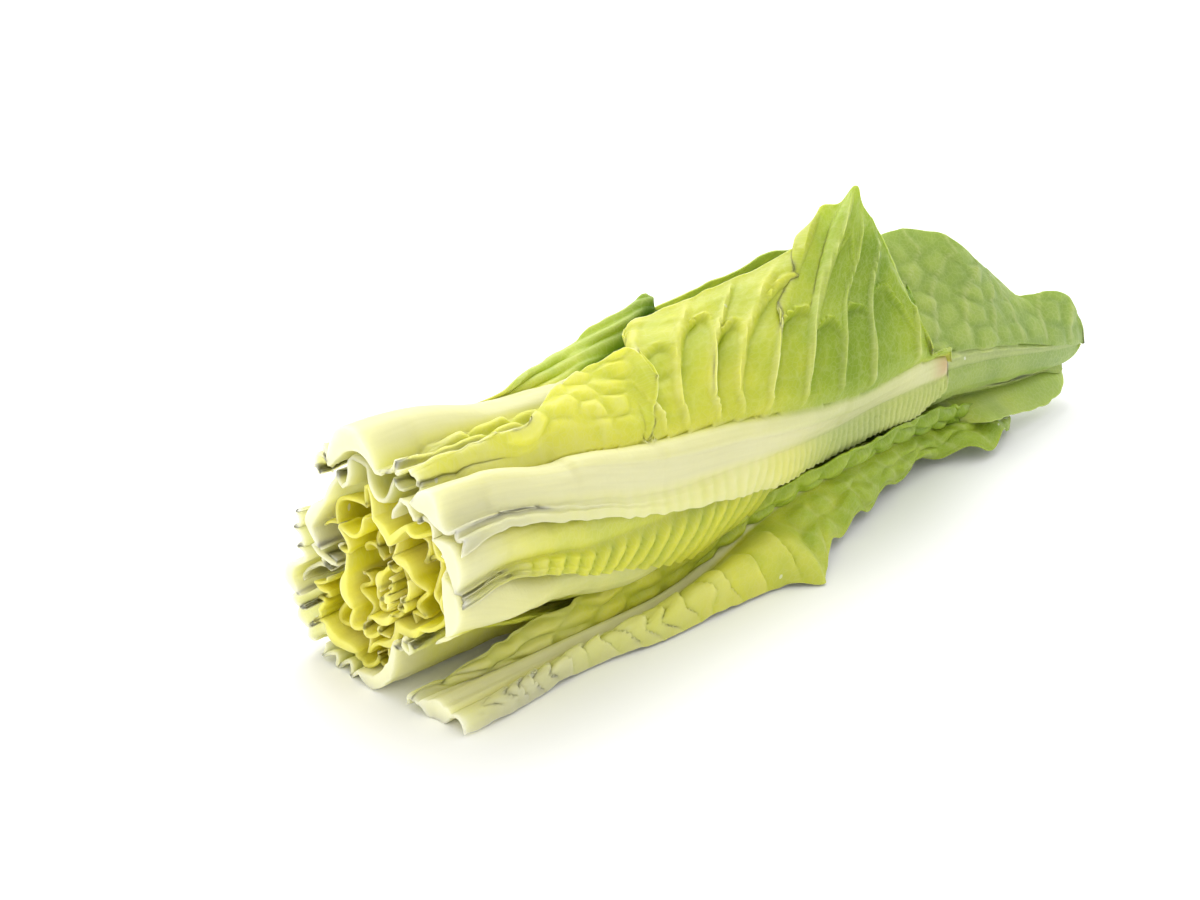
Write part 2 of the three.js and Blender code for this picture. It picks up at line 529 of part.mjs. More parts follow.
function floorGeometry(leaf) {
  const clear = supportFor(pile);
  const place = (y, across) => {
    const half = halfAt(leaf, y, across);
    const rib = ribAt(leaf, y, half);
    const [x, z] = [through(leaf.ribX, y), through(leaf.ribZ, y)];
    const point = [x - across, y, z + CURL * rib * ease((Math.abs(across) / rib) * 1.7 - 0.7)];
    if (Math.abs(across) > rib) {
      const near = across < 0;
      const foot = [x - Math.sign(across) * rib, y, z + CURL * rib];
      const [marginX, marginZ] = near ? [leaf.nearX, leaf.nearZ] : [leaf.farX, leaf.farZ];
      const margin = [through(marginX, y), y, through(marginZ, y)];
      const out = (Math.abs(across) - rib) / (half - rib);
      const aside = [-(margin[2] - foot[2]), 0, margin[0] - foot[0]].map((v) => (near ? v : -v));
      const length = Math.hypot(...aside);
      const bulge = (near ? through(leaf.roll, y) : FAR_BULGE) + RELIEF * ease(out * 4) * ease(y / 30);
      const rise = (bulge * Math.sin(Math.PI * out)) / length;
      for (let k = 0; k < 3; k++) point[k] = foot[k] + (margin[k] - foot[k]) * out + aside[k] * rise;
    }
    point[2] = Math.max(point[2], BLADE / 2);
    return point;
  };
  const thick = (y, t) => thickness(leaf, y, t);
  const middle = leaf.rows.map((y) => columnsOf(leaf, y).map((t) => place(y, t)));
  const off = (r, c, distance) => {
    const flat = Math.abs(columnsOf(leaf, leaf.rows[r])[c]) < ribAt(leaf, leaf.rows[r], 99) * 1.01;
    const normal = flat ? [0, 0, 1] : normalAt(middle, r, c);
    return middle[r][c].map((value, k) => value + normal[k] * distance);
  };
  const faces = [0, 1].map((face) =>
    leaf.rows.map((y, r) =>
      columnsOf(leaf, y).map((t, c) => {
        const point = off(r, c, face ? thick(y, t) - BLADE / 2 : -BLADE / 2);
        point[2] = Math.max(point[2], face ? BLADE : 0);
        const [turn, reach] = unplaced(point);
        const least = read(clear, y, turn) + ROOM + (face ? BLADE : 0);
        return reach < least && turn > -89 && turn < 60 ? placed(y, turn, least) : point;
      }),
    ),
  );
  return sheet(faces[0], faces[1]);
}

const heart = new THREE.Group();
function add(name, geometry, colour) {
  const material = new THREE.MeshStandardMaterial({ color: colour, roughness: 0.45, metalness: 0 });
  const mesh = new THREE.Mesh(geometry, material);
  geometry.translate(-CENTRE[0], -CENTRE[1], 0);
  mesh.name = name;
  heart.add(mesh);
}
for (const leaf of leaves) add(leaf.name, leafGeometry(leaf), leaf.colour);
add(floorLeaf.name, floorGeometry(floorLeaf), floorLeaf.colour);

export default heart;
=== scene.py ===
# Romaine heart, cut across above its core and lying on its side: sixteen loose leaves, pale and
# yellow in the middle and green outside, each laid over the ones before it, from the bud outwards.
import math

import bpy
import numpy as np
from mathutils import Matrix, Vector


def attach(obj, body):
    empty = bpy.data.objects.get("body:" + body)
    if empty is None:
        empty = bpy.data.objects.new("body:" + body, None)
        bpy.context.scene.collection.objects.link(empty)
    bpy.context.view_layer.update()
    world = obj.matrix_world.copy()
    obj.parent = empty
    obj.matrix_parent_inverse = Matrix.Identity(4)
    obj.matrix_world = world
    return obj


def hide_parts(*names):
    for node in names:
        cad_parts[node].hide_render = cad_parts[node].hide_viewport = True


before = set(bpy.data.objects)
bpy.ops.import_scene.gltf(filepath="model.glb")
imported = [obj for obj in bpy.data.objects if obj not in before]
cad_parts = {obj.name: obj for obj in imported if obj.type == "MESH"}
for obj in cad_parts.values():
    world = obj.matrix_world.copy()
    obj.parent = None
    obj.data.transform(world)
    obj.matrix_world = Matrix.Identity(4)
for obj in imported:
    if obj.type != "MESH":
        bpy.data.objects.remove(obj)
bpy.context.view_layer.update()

# ======== the bud leaf ========
# The youngest leaf, curled in the middle of the heart: a yellow blade folded over and over on
# itself, with hardly any rib. It grew inside all the others, and the knife went through it too.


def through(keys, x):
    """A smooth curve through (place, value) keys: cubic pieces whose slope at a key is that of the
    line between its neighbours, level before the first key and after the last."""
    place, value = np.array(keys, float).T
    span = np.diff(place)
    slope = np.zeros(len(place))
    slope[1:-1] = (value[2:] - value[:-2]) / (place[2:] - place[:-2])
    slope[-1] = (value[-1] - value[-2]) / span[-1]
    k = np.clip(np.searchsorted(place, x, side="right") - 1, 0, len(span) - 1)
    t = np.clip((x - place[k]) / span[k], 0, 1)
    h = t * t * (3 - 2 * t)
    bend = slope[k] * t * (1 - t) ** 2 - slope[k + 1] * t * t * (1 - t)
    return value[k] * (1 - h) + value[k + 1] * h + bend * span[k]


def ease(x):
    """0 below 0 and 1 above 1, with level ends: 3t^2 - 2t^3."""
    t = np.clip(x, 0, 1)
    return t * t * (3 - 2 * t)


DRAWS = 64  # random draws repeat after so many along u and v


def noise(u, v, seed):
    """An uneven field from -1 to 1: one random value at each whole u and v, eased in between."""
    value = np.random.default_rng(seed).uniform(-1, 1, (DRAWS, DRAWS))
    i, j = np.floor(u).astype(int), np.floor(v).astype(int)
    a, b = ease(u - i), ease(v - j)
    i, j, after_i, after_j = i % DRAWS, j % DRAWS, (i + 1) % DRAWS, (j + 1) % DRAWS
    low = value[i, j] * (1 - a) + value[after_i, j] * a
    high = value[i, after_j] * (1 - a) + value[after_i, after_j] * a
    return low * (1 - b) + high * b


# The pile is how far the leaves laid so far reach from the heart's middle line, at each row along
# the heart and each turn round it. 0 degrees is +X and 90 is up. All in millimetres.
ROW, ROWS = 2.0, 145
STEP, COLUMNS = 2.0, 180
ROW_Y = np.arange(ROWS)[:, None] * ROW
TURN = np.arange(COLUMNS)[None, :] * STEP
HOLLOW = [(0, 1.6), (120, 1.6), (200, 12), (232, 11), (280, 5)]  # the inmost hollow's radius
STIFF = [(0, 2.2), (30, 3.4), (80, 4.5)]  # how far a leaf bridges what it lies on, along y
LENGTHWISE = 4  # rows that it bridges along the heart
NARROWEST = 3  # the least radius that STIFF is turned into an angle with
pile = np.repeat(through(HOLLOW, ROW_Y), COLUMNS, axis=1)


def support_of(pile):
    """What a leaf lies on: the pile widened to its greatest reach nearby, then evened by the mean
    over the same stretch, so that it is never lower than the pile."""
    grid = pile
    for pick in (np.max, np.mean):
        edged = np.pad(grid, ((LENGTHWISE, LENGTHWISE), (0, 0)), mode="edge")
        grid = pick([edged[k : k + ROWS] for k in range(2 * LENGTHWISE + 1)], axis=0)
    radius = np.maximum(grid.mean(axis=1, keepdims=True), NARROWEST)
    reach = np.rint(through(STIFF, ROW_Y) / (radius * math.radians(STEP)))
    reach = np.clip(reach, 2, COLUMNS // 4)
    widest = grid
    for k in range(1, int(reach.max()) + 1):
        turned = np.maximum(np.roll(grid, k, 1), np.roll(grid, -k, 1))
        widest = np.where(k <= reach, np.maximum(widest, turned), widest)
    total = widest.copy()
    for k in range(1, int(reach.max()) + 1):
        total += np.where(k <= reach, np.roll(widest, k, 1) + np.roll(widest, -k, 1), 0)
    return total / (2 * reach + 1)


def read(grid, y, turn):
    """The grid's value at y and turn, straight between its rows and columns."""
    row = np.clip(y / ROW, 0, ROWS - 1.001)
    column = (turn / STEP) % COLUMNS
    r, c = row.astype(int), column.astype(int) % COLUMNS
    a, b = row - r, column - np.floor(column)
    near = grid[r, c] * (1 - b) + grid[r, (c + 1) % COLUMNS] * b
    far = grid[r + 1, c] * (1 - b) + grid[r + 1, (c + 1) % COLUMNS] * b
    return near * (1 - a) + far * a


BLADE = 0.7  # a blade's thickness
ROOM = 0.3  # least room from one leaf to the next
LOOSE = [(0, 0.7), (40, 0.3), (84, 0)]  # more room on the upper left, along y
LOOSE_TURN = 150
OTHER_SIDE, OTHER_FOLDS = 31.5, 17.3  # how far off the noise is read for a leaf's right side
LEAST_HALF = 0.25  # a blade's least half width
SCALLOP, NICK = 9, 2.6  # how long the margin's scallops and nicks are


def room_at(y, turn):
    """Room under a leaf: ROOM, and LOOSE where the turn is near LOOSE_TURN, as a cosine."""
    return ROOM + through(LOOSE, y) * (0.5 + 0.5 * np.cos(np.radians(turn - LOOSE_TURN)))


def half_width(leaf, y, across):
    """The blade's half width on the side of across: its keys, a long scallop, small nicks, and a
    round end."""
    half = np.where(across > 0, through(leaf["left"], y), through(leaf["right"], y))
    side = np.where(across > 0, 0.0, OTHER_SIDE)
    scallop = leaf.get("scallop", 0.04) * noise(y / SCALLOP + side, side, leaf["seed"])
    nicks = leaf.get("nick", 0.4) * noise(y / NICK + side, side, leaf["seed"] + 1)
    tip = np.clip((y - leaf["end"] + leaf["round"]) / leaf["round"], 0, 1)
    return np.maximum((half * (1 + scallop) + nicks) * np.sqrt(1 - tip**2), LEAST_HALF)


def narrowing(leaf, y):
    """How a rib dwindles: 1 at the cut, about a fifth at the tip."""
    return 1 - 0.78 * ease(1.05 * y / leaf["end"])


def rib_half(leaf, y, half):
    """Half the rib's width, by its keys, or from its width at the cut: never over 0.6 of half."""
    width = leaf["rib_width"]
    width = through(width, y) if isinstance(width, list) else width * narrowing(leaf, y)
    return np.minimum(width, half * 0.6)


def blade_share(leaf, y, across):
    """0 on the rib, and from 0 at its edge to 1 at the margin."""
    half = half_width(leaf, y, across)
    rib = rib_half(leaf, y, half)
    return np.clip((np.abs(across) - rib) / (half - rib), 0, 1.1)


CRINKLED = 26  # how far along a leaf its crinkles fade
CALM = 0.1  # what is left of them towards the tip
UNEVEN = 40  # the length over which one crinkle grows or sinks


def crinkle_at(leaf, y, across, share):
    """Lengthwise crinkles: sin^2 of an uneven phase, deepest at the cut face and fading along y.
    Returns their height and how far they lean over, both in mm."""
    side = np.where(across > 0, 0.0, OTHER_FOLDS)
    beat = leaf["folds"] * share
    drift = 0.8 * ease(share * 4) * noise(beat * 0.7 + side, y / CRINKLED + side, leaf["seed"] + 2)
    phase = math.pi / 2 * (beat + drift)
    size = 1 + 0.6 * noise(beat * 0.5 + side, y / UNEVEN, leaf["seed"] + 3)
    fade = CALM + (1 - CALM) * np.exp(-((y / CRINKLED) ** 1.3))
    deep = leaf["crinkle"] * np.where(across < 0, leaf.get("right_crinkle", 1), 1)
    height = 1.5 * deep * size * fade
    half = half_width(leaf, y, across)
    pitch = 2 * (half - rib_half(leaf, y, half)) / leaf["folds"]
    return height * np.sin(phase) ** 2, -np.minimum(0.5 * height, 0.17 * pitch) * np.sin(2 * phase)


WAVE = 8  # how long the waves of a margin are


def stand_off(leaf, y, across, share):
    """How far the blade stands off what it lies on: its crinkles, its waved margin, its keys to
    stand, which die out towards the left margin, and what the leaf's own relief adds."""
    wave = 0.5 + 0.5 * noise(y / WAVE, np.sign(across) * 5, leaf["seed"] + 4)
    height = crinkle_at(leaf, y, across, share)[0] + leaf["frill"] * wave * share**2
    if "stand" in leaf:
        flat = 1 - np.where(across > 0, 1, 0.7) * np.minimum(share, 1)
        height = height + through(leaf["stand"], y) * flat
    if "relief" in leaf:
        height = height + leaf["relief"](leaf, y, across, share)["height"]
    return height


TIGHTEST = 4.5  # the least radius that a leaf is rolled round


def rib_line(leaf, y):
    """The rib's turn and the radius that the leaf is rolled round, at each y."""
    rib_turn = through(leaf["turn"], y)
    return rib_turn, np.maximum(TIGHTEST, read(leaf["support"], y, rib_turn) + room_at(y, rib_turn))


def lie(leaf, y, across):
    """Where a leaf's inner face lies, as turn and reach: on its support, sprung off it a little,
    with its own relief. What stands free of the pile isn't in it yet."""
    rib_turn, radius = rib_line(leaf, y)
    share = blade_share(leaf, y, across)
    turn = rib_turn + np.degrees(across / radius)
    half = half_width(leaf, y, across)
    spring = 1 / np.cos(np.minimum(0.3, half * 0.5 / leaf["folds"] / radius))
    lying = (read(leaf["support"], y, turn) + room_at(y, turn)) * spring
    return turn, lying + stand_off(leaf, y, across, share)


BASE = 16  # how far along a leaf its blade is thicker than BLADE


def thickness(leaf, y, across, share):
    """The blade's thickness, more at the base and less at the margin, and the rib's on top of it:
    1 - |t|^power across it, higher on the side that it slants to. Its height goes by its keys, or
    dwindles and then runs out before the tip."""
    width = rib_half(leaf, y, half_width(leaf, y, across))
    if "rib_depth" in leaf:
        rib = leaf["rib_height"] * through(leaf["rib_depth"], y)
    else:
        running_out = ease((leaf["end"] - y) / leaf.get("run_out", 30))
        rib = leaf["rib_height"] * (narrowing(leaf, y) * running_out)
    rib = rib * np.maximum(0, 1 - np.abs(across / width) ** leaf.get("power", 2.2))
    rib = rib * (1 + through(leaf.get("slant", [(0, 0), (1, 0)]), y) * across / width)
    base = leaf.get("base", 0.35) * np.exp(-y / BASE)
    return (BLADE + base) * (1 - 0.4 * ease((share - 0.7) * 3.3)) + rib


def lay(leaf):
    """Gives a leaf its support and adds the leaf to the pile, as far as its blade goes."""
    global pile
    leaf["support"] = support_of(pile)
    y, turn = np.broadcast_arrays(ROW_Y, TURN)
    rib_turn, radius = rib_line(leaf, y)
    across = np.radians((turn - rib_turn + 180) % 360 - 180) * radius
    share = blade_share(leaf, y, across)
    outer = lie(leaf, y, across)[1] + thickness(leaf, y, across, share)
    within = np.abs(across) <= half_width(leaf, y, across) + math.radians(STEP) * radius
    pile = np.where(within & (y <= leaf["end"] + 2), np.maximum(pile, outer), pile)


CENTRE_X, CENTRE_Y = 2.0, 128.0  # the part's origin, from the middle of the cut face
LEAN = [(0, 1.08), (90, 1.05), (288, 1)]  # the stretch towards up and right, along y
DRIFT = [(0, 0), (150, 0), (276, 3)]  # the middle line's way to the right
MIDDLE = [(0, 24.4), (24, 25.4), (60, 27), (96, 30), (144, 29.6), (180, 26.8), (204, 23.8),
          (240, 18), (288, 10)]  # its height over the table
UPPER = [(0, 1.04), (24, 1.07), (44, 1.15), (70, 1.1), (120, 1)]  # the stretch above that line
LOWER = [(0, 0.72), (60, 0.9), (120, 1)]  # and below it, where the heart's weight rests
LEFT_LOW = 0.9  # what LOWER is towards the left, at the cut
RIGHT = [(0, 0.66), (30, 0.74), (50, 0.8), (110, 0.77), (140, 0.82), (165, 0.9), (200, 1)]
CORNER = 60  # how far along the heart LEFT_LOW holds


def placed(y, turn, reach):
    """Points in millimetres from turn and reach: the cross-section is drawn out along the diagonal
    that runs up and to the right, then upwards, downwards and to the right, with a fuller lower
    left corner near the cut, and its middle stands at MIDDLE over the table."""
    x, z = reach * np.cos(np.radians(turn)), reach * np.sin(np.radians(turn))
    stretch = through(LEAN, y)
    up, side = (x + z) / 2 * stretch, (z - x) / 2 / stretch
    x, z = up - side, up + side
    corner = np.clip(-x / np.maximum(reach, 1), 0, 1) ** 0.7
    lower = through(LOWER, y)
    fuller = (LEFT_LOW - lower) * corner * np.exp(-y / CORNER)
    z = z * np.where(z > 0, through(UPPER, y), lower + fuller)
    x = x * np.where(x > 0, through(RIGHT, y), 1)
    return np.stack([through(DRIFT, y) + x - CENTRE_X, y - CENTRE_Y,
                     through(MIDDLE, y) + z], axis=-1)


def unplaced(y, x, z):
    """The turn and reach of points given from the middle of the cut: placed() backwards, for
    places above the middle line or to the right of it."""
    x, z = x - through(DRIFT, y), z - through(MIDDLE, y)
    x = x / np.where(x > 0, through(RIGHT, y), 1)
    z = z / np.where(z > 0, through(UPPER, y), through(LOWER, y))
    stretch = through(LEAN, y)
    up, side = (x + z) / 2 / stretch, (z - x) / 2 * stretch
    return np.degrees(np.arctan2(up + side, up - side)), np.hypot(up, side) * math.sqrt(2)


SOFT_MEETING = 3  # how softly a wing leaves what it lies on


def along_path(path, y):
    """A smooth curve through rows of (place along the rib, value, value, ...), one for each value."""
    return [through([(row[0], row[k]) for row in path], y) for k in range(1, len(path[0]))]


def draw_out(leaf, wing, y, across, turn, reach):
    """Draws one wing off the pile: straight from the rib's edge to a margin that stands free, its
    x and z, or x, y and z, given along the rib. The soft maximum of that and what lies there,
    (a + b + hypot(a - b, SOFT_MEETING)) / 2, keeps it off the pile. Returns y, turn and reach."""
    side, first, blend = wing["side"], wing["from"], wing["blend"]
    on_wing = side * across > 0
    rib = side * rib_half(leaf, y, half_width(leaf, y, np.full_like(y, side)))
    edge = placed(y, *lie(leaf, y, rib)) + [CENTRE_X, CENTRE_Y, 0]
    x, *own_y, z = along_path(wing["margin"], y)
    margin = np.stack([x, own_y[0] if own_y else y, z], -1)
    out = (across - rib) / (side * through(leaf["left" if side > 0 else "right"], y) - rib)
    out = np.clip(out, 0, 1.2)[..., None] ** [1, wing.get("bend", 1), 1]
    drawn = edge + (margin - edge) * out
    along = drawn[..., 1]
    free_turn, free_reach = unplaced(along, drawn[..., 0], drawn[..., 2])
    free_turn = turn + (free_turn - turn + 180) % 360 - 180
    out = out[..., 0]
    lowest = read(leaf["support"], along, free_turn) + ROOM + wing.get("clear", 0) * out * (1 - out)
    free_reach = (free_reach + lowest + np.hypot(free_reach - lowest, SOFT_MEETING)) / 2
    part = np.where(side * across > side * rib, ease((y - first) / blend), 0)
    swept = np.where(on_wing, y + through(wing["sweep"], y) * out, y) if "sweep" in wing else y
    reach = reach + read(leaf["support"], swept, turn) - read(leaf["support"], y, turn)
    return (swept + (along - swept) * part, turn + (free_turn - turn) * part,
            reach + (free_reach - reach) * part)


def unit(vectors):
    """Vectors made one long."""
    return vectors / np.maximum(np.linalg.norm(vectors, axis=-1, keepdims=True), 1e-9)


def normals(points, y):
    """Outward unit normals of a grid of points, kept level near the cut."""
    normal = np.cross(np.gradient(points, axis=1), np.gradient(points, axis=0))
    normal[..., 1] *= ease(y / 3)
    return unit(normal)


ROUNDED = 0.6  # how far in from the cut its edge is rounded
CLOSE = 20  # how far along a leaf its rows stand closer together


def blade_grid(leaf):
    """The leaf's grid: y close together by the cut and looser beyond, and shares of the half
    width from the left margin to the right one. Returns y and across in mm."""
    near, far, count = leaf["grid"]
    first = np.concatenate([[0, 0.08, 0.2, 0.36], np.arange(ROUNDED, CLOSE, near)])
    rest = np.linspace(CLOSE, leaf["end"], round((leaf["end"] - CLOSE) / far))
    y = np.concatenate([first, rest])
    share = np.linspace(1, -1, 2 * count + 1)
    y, share = np.broadcast_arrays(y[:, None], share[None, :])
    return y, share * half_width(leaf, y, share)


TORN, FRAYED = 9, 16  # how far along a leaf its uneven cut edge and its fine waves fade


def surface(leaf, y, across):
    """The middle of the blade, with its crinkles leaning over, its wings drawn out, its cut edge
    set back unevenly and its raised relief square to it, and its outward normals."""
    share = blade_share(leaf, y, across)
    own = leaf["relief"](leaf, y, across, share) if "relief" in leaf else {}
    turn, reach = lie(leaf, y, across)
    along = y
    for wing in leaf.get("wings", ()):
        along, turn, reach = draw_out(leaf, wing, y, across, turn, reach)
    over = crinkle_at(leaf, y, across, share)[1]
    turn = turn + np.degrees(over / np.maximum(reach, 4))
    on_blade = ease(share * 4)
    uneven = 1.5 + 1.5 * noise(across / 5, 0 * y, leaf["seed"] + 5)
    uneven = (uneven + 0.7 * noise(across / 1.6, 0 * y, leaf["seed"] + 6)) * on_blade
    uneven = np.maximum(uneven + leaf.get("set_back", 0), 0)
    fine = 0.45 * noise(across / 1.8, y / 5, leaf["seed"] + 7) * np.exp(-y / FRAYED) * on_blade
    points = placed(along + uneven * np.exp(-y / TORN), turn, reach + fine + BLADE / 2)
    if "raised" in own:
        points = points + normals(points, y) * own["raised"][..., None]
    return points, normals(points, y)


def faces(leaf, y, across, points, normal):
    """The inner and outer faces: half a blade inwards along the normal, and the rest of the
    thickness outwards: along the normal too, but on the rib straight away from the heart's middle
    line, or up where the leaf lies on the table. Both close in at the cut by a quarter circle,
    which rounds its edge."""
    thick = thickness(leaf, y, across, blade_share(leaf, y, across))
    inwards = 1 - np.sqrt(1 - (1 - np.clip(y / ROUNDED, 0, 1)) ** 2)
    inset = np.minimum(0.5, 0.4 * thick) * inwards
    if "turn" in leaf:
        straight = points - placed(y, 0 * y, 0 * y)
        straight[..., 1] = 0
        straight /= np.maximum(np.linalg.norm(straight, axis=-1, keepdims=True), 1)
    else:
        straight = [0, 0, 1]
    width = rib_half(leaf, y, half_width(leaf, y, across))
    on_rib = ease(1.6 - np.abs(across) / width)[..., None]
    out = unit(normal * (1 - on_rib) + straight * on_rib)
    inner = points - normal * (BLADE / 2 - inset)[..., None]
    outer = points + out * (thick - BLADE / 2 - inset)[..., None]
    inner[..., 2], outer[..., 2] = np.maximum(inner[..., 2], 0), np.maximum(outer[..., 2], 0)
    return inner, outer


SHARP = math.radians(62)  # edges folded more than this are kept sharp


def closed_sheet(name, inner, outer, fields):
    """A closed mesh from two grids of points in mm: both faces, the cut, the tip and the margins.
    fields are values for each grid point, kept on both faces as attributes."""
    rows, columns = inner.shape[:2]
    size = rows * columns
    number = np.arange(size).reshape(rows, columns)
    a, b = number[:-1, :-1].ravel(), number[:-1, 1:].ravel()
    c, d = number[1:, 1:].ravel(), number[1:, :-1].ravel()
    quads = [np.stack([a, d, c, b], 1), np.stack([a, b, c, d], 1) + size]
    for line in (number[0], number[:, -1], number[-1, ::-1], number[::-1, 0]):
        quads.append(np.stack([line[:-1], line[1:], line[1:] + size, line[:-1] + size], 1))
    quads = np.concatenate(quads)
    mesh = bpy.data.meshes.new(name)
    mesh.vertices.add(2 * size)
    mesh.vertices.foreach_set("co", np.concatenate([inner, outer]).ravel() / 1000)
    mesh.loops.add(4 * len(quads))
    mesh.loops.foreach_set("vertex_index", quads.ravel())
    mesh.polygons.add(len(quads))
    mesh.polygons.foreach_set("loop_start", np.arange(len(quads)) * 4)
    mesh.polygons.foreach_set("use_smooth", np.ones(len(quads), bool))
    for key, field in fields.items():
        kind = "FLOAT_VECTOR" if field.ndim == 3 else "FLOAT"
        attribute = mesh.attributes.new(key, kind, "POINT")
        both = np.concatenate([field, field]).ravel()
        attribute.data.foreach_set("vector" if field.ndim == 3 else "value", both)
    mesh.update(calc_edges=True)
    mesh.set_sharp_from_angle(angle=SHARP)
    mesh.validate()
    return mesh


def link(name, data):
    """An object with that mesh, lamp or camera, in the scene."""
    item = bpy.data.objects.new(name, data)
    bpy.context.scene.collection.objects.link(item)
    return item


CUT_SKIN, TENDER = 1.3, 24  # how far along a leaf the knife's mark and the tender base fade


def grow(leaf, material, shape=surface):
    """Makes the leaf's mesh over its grid, with the fields that its material reads, and has it
    stand for the leaf's solid."""
    y, across = blade_grid(leaf)
    share = blade_share(leaf, y, across)
    points, normal = shape(leaf, y, across)
    width = rib_half(leaf, y, half_width(leaf, y, across))
    inner, outer = faces(leaf, y, across, points, normal)
    own = leaf["relief"](leaf, y, across, share) if "relief" in leaf else {}
    rib = 1 - ease((np.abs(across) - 0.62 * width) / (0.5 * width))
    green = np.clip(through(leaf["green"], y) + own.get("green", 0), 0, 1)
    fade = through(leaf.get("rib_fade", [(0, 0.45), (1, 0.45)]), y)
    fields = {
        "sheet": np.stack([across, y, 0 * y], -1) / 1000,
        "rib": rib * np.maximum(1 - fade * green, 0),
        "green": green,
        "vein": own.get("vein", 0 * y),
        # the deep field: painted shade in hollows, creases and folds
        "deep": own.get("deep", 0 * y),
        "cut": np.exp(-y / CUT_SKIN),
        "tender": np.exp(-y / TENDER),
        "worn": own.get("worn", 0 * y),
    }
    mesh = closed_sheet("veined_" + leaf["name"], inner, outer, fields)
    mesh.materials.append(material)
    piece = link("veined_" + leaf["name"], mesh)
    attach(piece, "root")
    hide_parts(leaf["name"])


HOLLOW_SHADE_TINT = (0.6, 0.74, 0.25)  # painted shade: what the colour is multiplied by where the deep field is high, in hollows, creases and folds
WORN_BROWN = (0.52, 0.36, 0.19)
# Painted glint: the pale colour that the drops of water are lightened towards.
DROP_GLINT = (0.95, 0.96, 0.9)
MOTTLE, NET, DROPS, GRAIN = 90, 650, 210, 700  # patches, meshes, cells for drops, grains to the metre
STREAKS = (1300, 45, 1)  # streaks to the metre, across and along a rib
DRY, DROP = 0.86, 0.1  # the share of the cells with no drop, and a drop's radius to its cell
BUMP = 0.0003  # the bump's height, in metres
SHALLOW, DEEPER = 0.002, 0.009  # how deep light goes, in metres, and what the tender base adds


